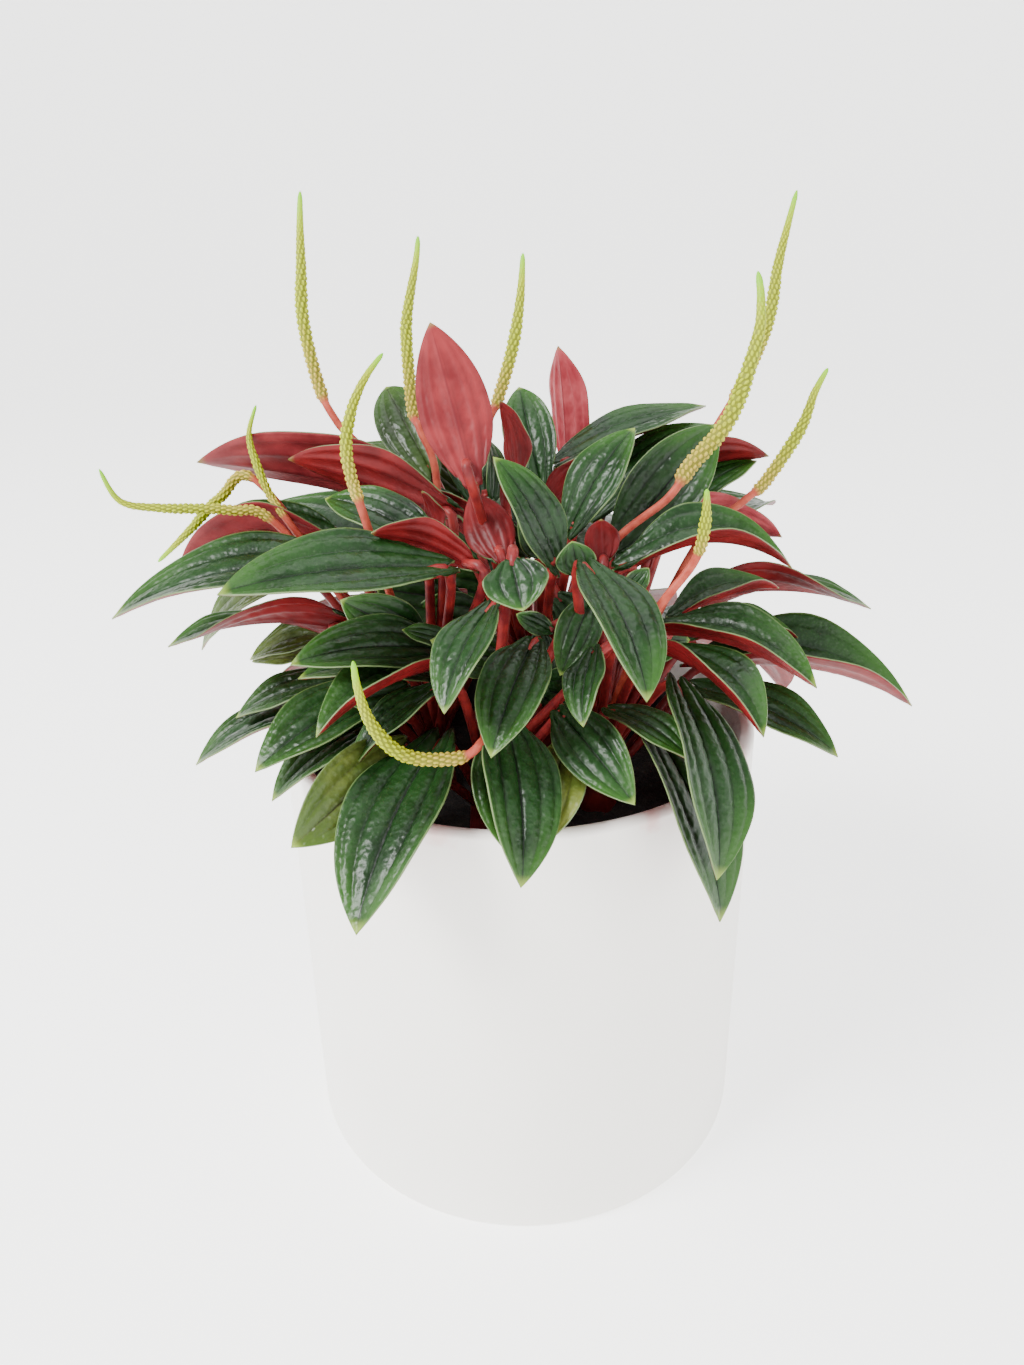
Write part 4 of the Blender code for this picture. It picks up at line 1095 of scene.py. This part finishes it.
class PeperomiaSettings(bpy.types.PropertyGroup):
    """Sizes and colours that a user would change."""

    # Leaf dark and Leaf green are mixed partly at random and partly by ridge height, so the green on the
    # ridges is partly painted light.
    leaf_dark: colour("Leaf dark", "Darkest green of a leaf", (0.002, 0.011, 0.002))
    leaf_green: colour("Leaf green", "Green of the ridges", (0.007, 0.033, 0.005))
    leaf_pale: colour("Leaf pale", "Green near tip and margin", (0.024, 0.080, 0.009))
    under_deep: colour("Underside deep", "Deep red below", (0.085, 0.004, 0.005))
    under_red: colour("Underside red", "Lighter red below", (0.165, 0.009, 0.010))
    stalk_deep: colour("Stalk deep", "Deep red of a stalk", (0.10, 0.007, 0.009))
    stalk_red: colour("Stalk red", "Light red of a stalk", (0.29, 0.026, 0.022))
    spike_lime: colour("Spike tip", "Lime green of the tip", (0.14, 0.50, 0.001))
    spike_yellow: colour("Spike middle", "Yellow-green", (0.36, 0.42, 0.004))
    spike_tan: colour("Spike foot", "Tan of the foot", (0.46, 0.33, 0.05))
    glaze: colour("Glaze", "White of the pot", (0.88, 0.86, 0.81))
    floor: colour("Floor", "Pale floor", (0.86, 0.86, 0.855))
    turn_steps: IntProperty(name="Steps round", description="Faces round the pots", default=160, min=24)


# The floor: a flat round of this radius, then a wall that bends up round it
FLOOR_FLAT = 1.6
FLOOR_BEND = 1.4
FLOOR_STEPS = 12

# Each lamp's place, size and power in watts, and what they all face
LAMPS = {
    "window_light": ((-0.9, -0.5, 1.2), 0.6, 44),
    "room_light": ((0.9, -0.9, 1.0), 1.3, 12),
    "top_light": ((0.1, 0.4, 1.6), 1.2, 14),
}
LIT_PLACE = Vector((0, 0, 0.14))
ROOM_COLOUR = (1.0, 0.99, 0.97, 1)
ROOM_STRENGTH = 0.55
SENSOR = 36.0
PICTURE_HEIGHT = 1365

# The soil's rings, the waves on top of it, and how high and rough it is there
SOIL_SEED = 5
SOIL_RINGS = 60
SOIL_WAVES = 14
SOIL_LIFT = 0.7 * MM
SOIL_ROUGH = 2.2 * MM

# Pink smears on the pot's lip: where, and how large
PINK_SMEARS = (
    ((-0.020, -0.068, 0.1355), 0.006),
    ((0.033, -0.061, 0.1355), 0.005),
    ((0.062, -0.030, 0.1355), 0.006),
)

# Leaves that are yellower or pinker than the rest, and by how much
OLD_LEAVES = {"E13": 0.55, "J1": 0.95, "E2": 0.35, "E5": 0.5, "E4": 0.35, "A3": 0.2, "B2": 0.15}
PINK_LEAVES = {"C2": 0.9, "D3": 0.9, "D4": 0.9, "A1": 0.3, "B1": 0.2, "A4": 0.2}


class Step:
    """What all operators share: they build with the scene's settings."""

    def execute(self, context):
        """Build this step's pieces."""
        self.build(context.scene.peperomia)
        return {"FINISHED"}


class PEPEROMIA_OT_pot(Step, bpy.types.Operator):
    """Build the white ceramic pot."""

    bl_idname = "peperomia.pot"
    bl_label = "Pot"

    def build(self, settings):
        """The glazed wall and floor, turned from one profile."""
        lip = POT_WALL / 2
        middle = POT_RADIUS - lip
        inner = POT_RADIUS - POT_WALL
        profile = round_corner((middle, POT_HEIGHT - lip), lip, 90, 0, 8)
        profile += round_corner((POT_RADIUS - 2 * MM, 2 * MM), 2 * MM, 0, -90)
        profile += [(POT_RADIUS * 0.5, 0.0), (0.0, 0.0), (0.0, POT_WALL), (inner * 0.5, POT_WALL)]
        profile += round_corner((inner - 2 * MM, POT_WALL + 2 * MM), 2 * MM, -90, 0)
        profile += [(inner, POT_HEIGHT * 0.5)]
        profile += round_corner((middle, POT_HEIGHT - lip), lip, 180, 90, 8)
        obj = turned_piece(profile, settings.turn_steps)
        finish_piece(obj, "glazed_pot", ["pot"], [glaze_material(settings)])


class PEPEROMIA_OT_nursery(Step, bpy.types.Operator):
    """Build the black nursery pot inside."""

    bl_idname = "peperomia.nursery"
    bl_label = "Nursery pot"

    def build(self, settings):
        """The thin wall with its rolled rim, turned from one profile."""
        top = NURSERY_TOP_RADIUS
        wall = NURSERY_WALL
        profile = round_corner((top + 0.7 * MM, NURSERY_RIM - 0.8 * MM), 0.8 * MM, 180, 0)
        profile += [(top + 1.5 * MM, NURSERY_RIM - 5 * MM), (top + 0.6 * MM, NURSERY_RIM - 5.4 * MM),
                    (top, NURSERY_RIM - 6 * MM), (NURSERY_FOOT_RADIUS + 1 * MM, NURSERY_BASE + 3 * MM),
                    (NURSERY_FOOT_RADIUS - 1 * MM, NURSERY_BASE), (0.0, NURSERY_BASE),
                    (0.0, NURSERY_BASE + wall), (NURSERY_FOOT_RADIUS - wall, NURSERY_BASE + wall),
                    (top - wall, NURSERY_RIM - 6 * MM), (top - wall, NURSERY_RIM - 0.8 * MM)]
        obj = turned_piece(profile + profile[:1], settings.turn_steps)
        finish_piece(obj, "black_nursery_pot", ["nursery_pot"], [plastic_material()])


class PEPEROMIA_OT_soil(Step, bpy.types.Operator):
    """Build the crumbly soil."""

    bl_idname = "peperomia.soil"
    bl_label = "Soil"

    def build(self, settings):
        """A turned block with a crumbly top."""
        draw = random.Random(SOIL_SEED)
        share = (SOIL_TOP - NURSERY_BASE) / (NURSERY_RIM - 5.5 * MM - NURSERY_BASE)
        radius = NURSERY_FOOT_RADIUS + (NURSERY_TOP_RADIUS - NURSERY_FOOT_RADIUS) * share - NURSERY_WALL
        radius -= 0.4 * MM
        profile = [(0.0, SOIL_TOP)]
        profile += [(radius * i / SOIL_RINGS, SOIL_TOP) for i in range(1, SOIL_RINGS + 1)]
        profile += [(NURSERY_FOOT_RADIUS - 2 * MM, SOIL_BASE), (0.0, SOIL_BASE)]
        obj = turned_piece(profile, settings.turn_steps)
        waves = [(draw.uniform(60, 900), draw.uniform(60, 900), draw.uniform(0, 6))
                 for _ in range(SOIL_WAVES)]
        for vert in obj.data.vertices:
            x, y, z = vert.co
            reach = math.hypot(x, y)
            if z > SOIL_TOP - 0.1 * MM and reach < radius - 0.5 * MM:
                rise = sum(math.sin(x * a + y * b + c) for a, b, c in waves) / SOIL_WAVES
                vert.co.z = SOIL_TOP + SOIL_LIFT + SOIL_ROUGH * rise
        finish_piece(obj, "potting_soil", ["soil"], [soil_material()])


PLANT = {}


def plant():
    """The settled leaves and spikes, worked out once."""
    if not PLANT:
        PLANT["pieces"] = settled_plant()
    return PLANT["pieces"]


class PEPEROMIA_OT_leaves(Step, bpy.types.Operator):
    """Build the blades, one piece for each crown."""

    bl_idname = "peperomia.leaves"
    bl_label = "Leaves"

    def build(self, settings):
        """The blades that grow from each crown."""
        materials = [leaf_top_material(settings), leaf_under_material(settings), leaf_margin_material()]
        for crown in CROWNS:
            parts = []
            for number, piece in enumerate(plant()):
                if piece.crown != crown or piece.name in SPIKES:
                    continue
                tone = OLD_LEAVES.get(piece.name, 0.0)
                flush = PINK_LEAVES.get(piece.name, 0.0)
                parts.append(fine_blade(piece.leaf, number, tone, flush))
            obj = joined("leaves_" + crown, parts)
            finish_piece(obj, "leaves_" + crown, ["crown_" + crown], materials)


class PEPEROMIA_OT_stalks(Step, bpy.types.Operator):
    """Build the leaf stalks and the crown's stem, one piece for each crown."""

    bl_idname = "peperomia.stalks"
    bl_label = "Stalks"

    def build(self, settings):
        """The red stalks and the stem they grow from."""
        red = stalk_material(settings)
        for crown in CROWNS:
            parts = [stalk_part(piece.leaf) for piece in plant()
                     if piece.crown == crown and piece.name not in SPIKES]
            foot = crown_foot(crown)
            stem = [foot - Vector((0, 0, 11 * MM)), foot, foot + Vector((0, 0, CROWN_STEM))]
            path, radii = smooth_path(stem, [CROWN_FOOT_RADIUS, CROWN_FOOT_RADIUS, CROWN_STEM_TOP_RADIUS],
                                      2 * MM)
            grid, faces = fine_tube(path, radii, 20)
            marks = {"along": np.zeros(len(grid))}
            parts.append({"points": grid, "faces": faces, "slots": np.zeros(len(faces)), "marks": marks})
            obj = joined("stalks_" + crown, parts)
            finish_piece(obj, "stalks_" + crown, ["crown_" + crown], [red])


class PEPEROMIA_OT_spikes(Step, bpy.types.Operator):
    """Build the flower spikes, each a piece of its own."""

    bl_idname = "peperomia.spikes"
    bl_label = "Flower spikes"

    def build(self, settings):
        """The spikes with their bumps."""
        mat = spike_material(settings)
        for piece in plant():
            if piece.name not in SPIKES:
                continue
            part = spike_part(piece.name, piece.points, piece.radii)
            obj = joined("spike_" + piece.name, [part])
            finish_piece(obj, "spike_" + piece.name, ["crown_" + piece.crown], [mat])


class PEPEROMIA_OT_stage(Step, bpy.types.Operator):
    """Build the floor, the soft lights and the camera."""

    bl_idname = "peperomia.stage"
    bl_label = "Stage"

    def build(self, settings):
        """Everything round the plant."""
        deselect()
        bpy.ops.mesh.primitive_circle_add(vertices=96, radius=FLOOR_FLAT, fill_type="NGON")
        floor = bpy.context.object
        floor.name = "pale_floor"
        bpy.ops.object.mode_set(mode="EDIT")
        bpy.ops.mesh.select_mode(type="EDGE")
        bpy.ops.mesh.select_all(action="SELECT")
        reach = FLOOR_FLAT
        height = 0.0
        for step in range(1, FLOOR_STEPS + 1):
            turn = math.pi / 2 * step / FLOOR_STEPS
            next_reach = FLOOR_FLAT + FLOOR_BEND * math.sin(turn)
            next_height = FLOOR_BEND * (1 - math.cos(turn))
            bpy.ops.mesh.extrude_edges_move(
                TRANSFORM_OT_translate={"value": (0, 0, next_height - height)})
            grow = next_reach / reach
            bpy.ops.transform.resize(value=(grow, grow, 1))
            reach, height = next_reach, next_height
        bpy.ops.object.mode_set(mode="OBJECT")
        for polygon in floor.data.polygons:
            polygon.use_smooth = True
        floor.data.materials.append(floor_material(settings))
        for name, row in LAMPS.items():
            soft_light(name, *row)
        world = bpy.data.worlds.new("soft_room")
        bpy.context.scene.world = world
        world.use_nodes = True
        background = world.node_tree.nodes["Background"]
        background.inputs["Color"].default_value = ROOM_COLOUR
        background.inputs["Strength"].default_value = ROOM_STRENGTH
        ahead = sight(*PICTURE_MIDDLE)
        right = (sight(PICTURE_MIDDLE[0] + 100, PICTURE_MIDDLE[1]) - ahead).normalized()
        top = right.cross(ahead).normalized()
        camera = bpy.data.objects.new("camera", bpy.data.cameras.new("camera"))
        bpy.context.scene.collection.objects.link(camera)
        camera.data.sensor_width = SENSOR
        camera.data.lens = PIXELS_PER_UNIT / PICTURE_HEIGHT * SENSOR
        camera.data.clip_start = 0.01
        turn = Matrix((right, top, -ahead)).transposed()
        camera.matrix_world = Matrix.Translation(EYE) @ turn.to_4x4()
        bpy.context.scene.camera = camera


def soft_light(name, place, size, power):
    """A large square light that faces the plant."""
    lamp = bpy.data.lights.new(name, "AREA")
    lamp.size = size
    lamp.energy = power
    obj = bpy.data.objects.new(name, lamp)
    bpy.context.scene.collection.objects.link(obj)
    obj.location = place
    obj.rotation_euler = (LIT_PLACE - Vector(place)).to_track_quat("-Z", "Y").to_euler()


class PEPEROMIA_PT_panel(bpy.types.Panel):
    """Lists the steps in the sidebar."""

    bl_label = "Peperomia"
    bl_idname = "PEPEROMIA_PT_panel"
    bl_space_type = "VIEW_3D"
    bl_region_type = "UI"
    bl_category = "Peperomia"

    def draw(self, context):
        """Every setting, then a button for each step."""
        settings = context.scene.peperomia
        for name in settings.bl_rna.properties.keys():
            if name not in ("rna_type", "name"):
                self.layout.prop(settings, name)
        for step in STEPS:
            self.layout.operator(step.bl_idname)


STEPS = (PEPEROMIA_OT_pot, PEPEROMIA_OT_nursery, PEPEROMIA_OT_soil, PEPEROMIA_OT_leaves,
         PEPEROMIA_OT_stalks, PEPEROMIA_OT_spikes, PEPEROMIA_OT_stage)
CLASSES = (PeperomiaSettings, *STEPS, PEPEROMIA_PT_panel)


def register():
    """Add the classes and the settings."""
    for cls in CLASSES:
        bpy.utils.register_class(cls)
    bpy.types.Scene.peperomia = PointerProperty(type=PeperomiaSettings)


def unregister():
    """Take them away again."""
    del bpy.types.Scene.peperomia
    for cls in reversed(CLASSES):
        bpy.utils.unregister_class(cls)


def main():
    """Build every piece."""
    register()
    bpy.ops.peperomia.pot()
    bpy.ops.peperomia.nursery()
    bpy.ops.peperomia.soil()
    bpy.ops.peperomia.leaves()
    bpy.ops.peperomia.stalks()
    bpy.ops.peperomia.spikes()
    bpy.ops.peperomia.stage()


if __name__ == "__main__":
    main()
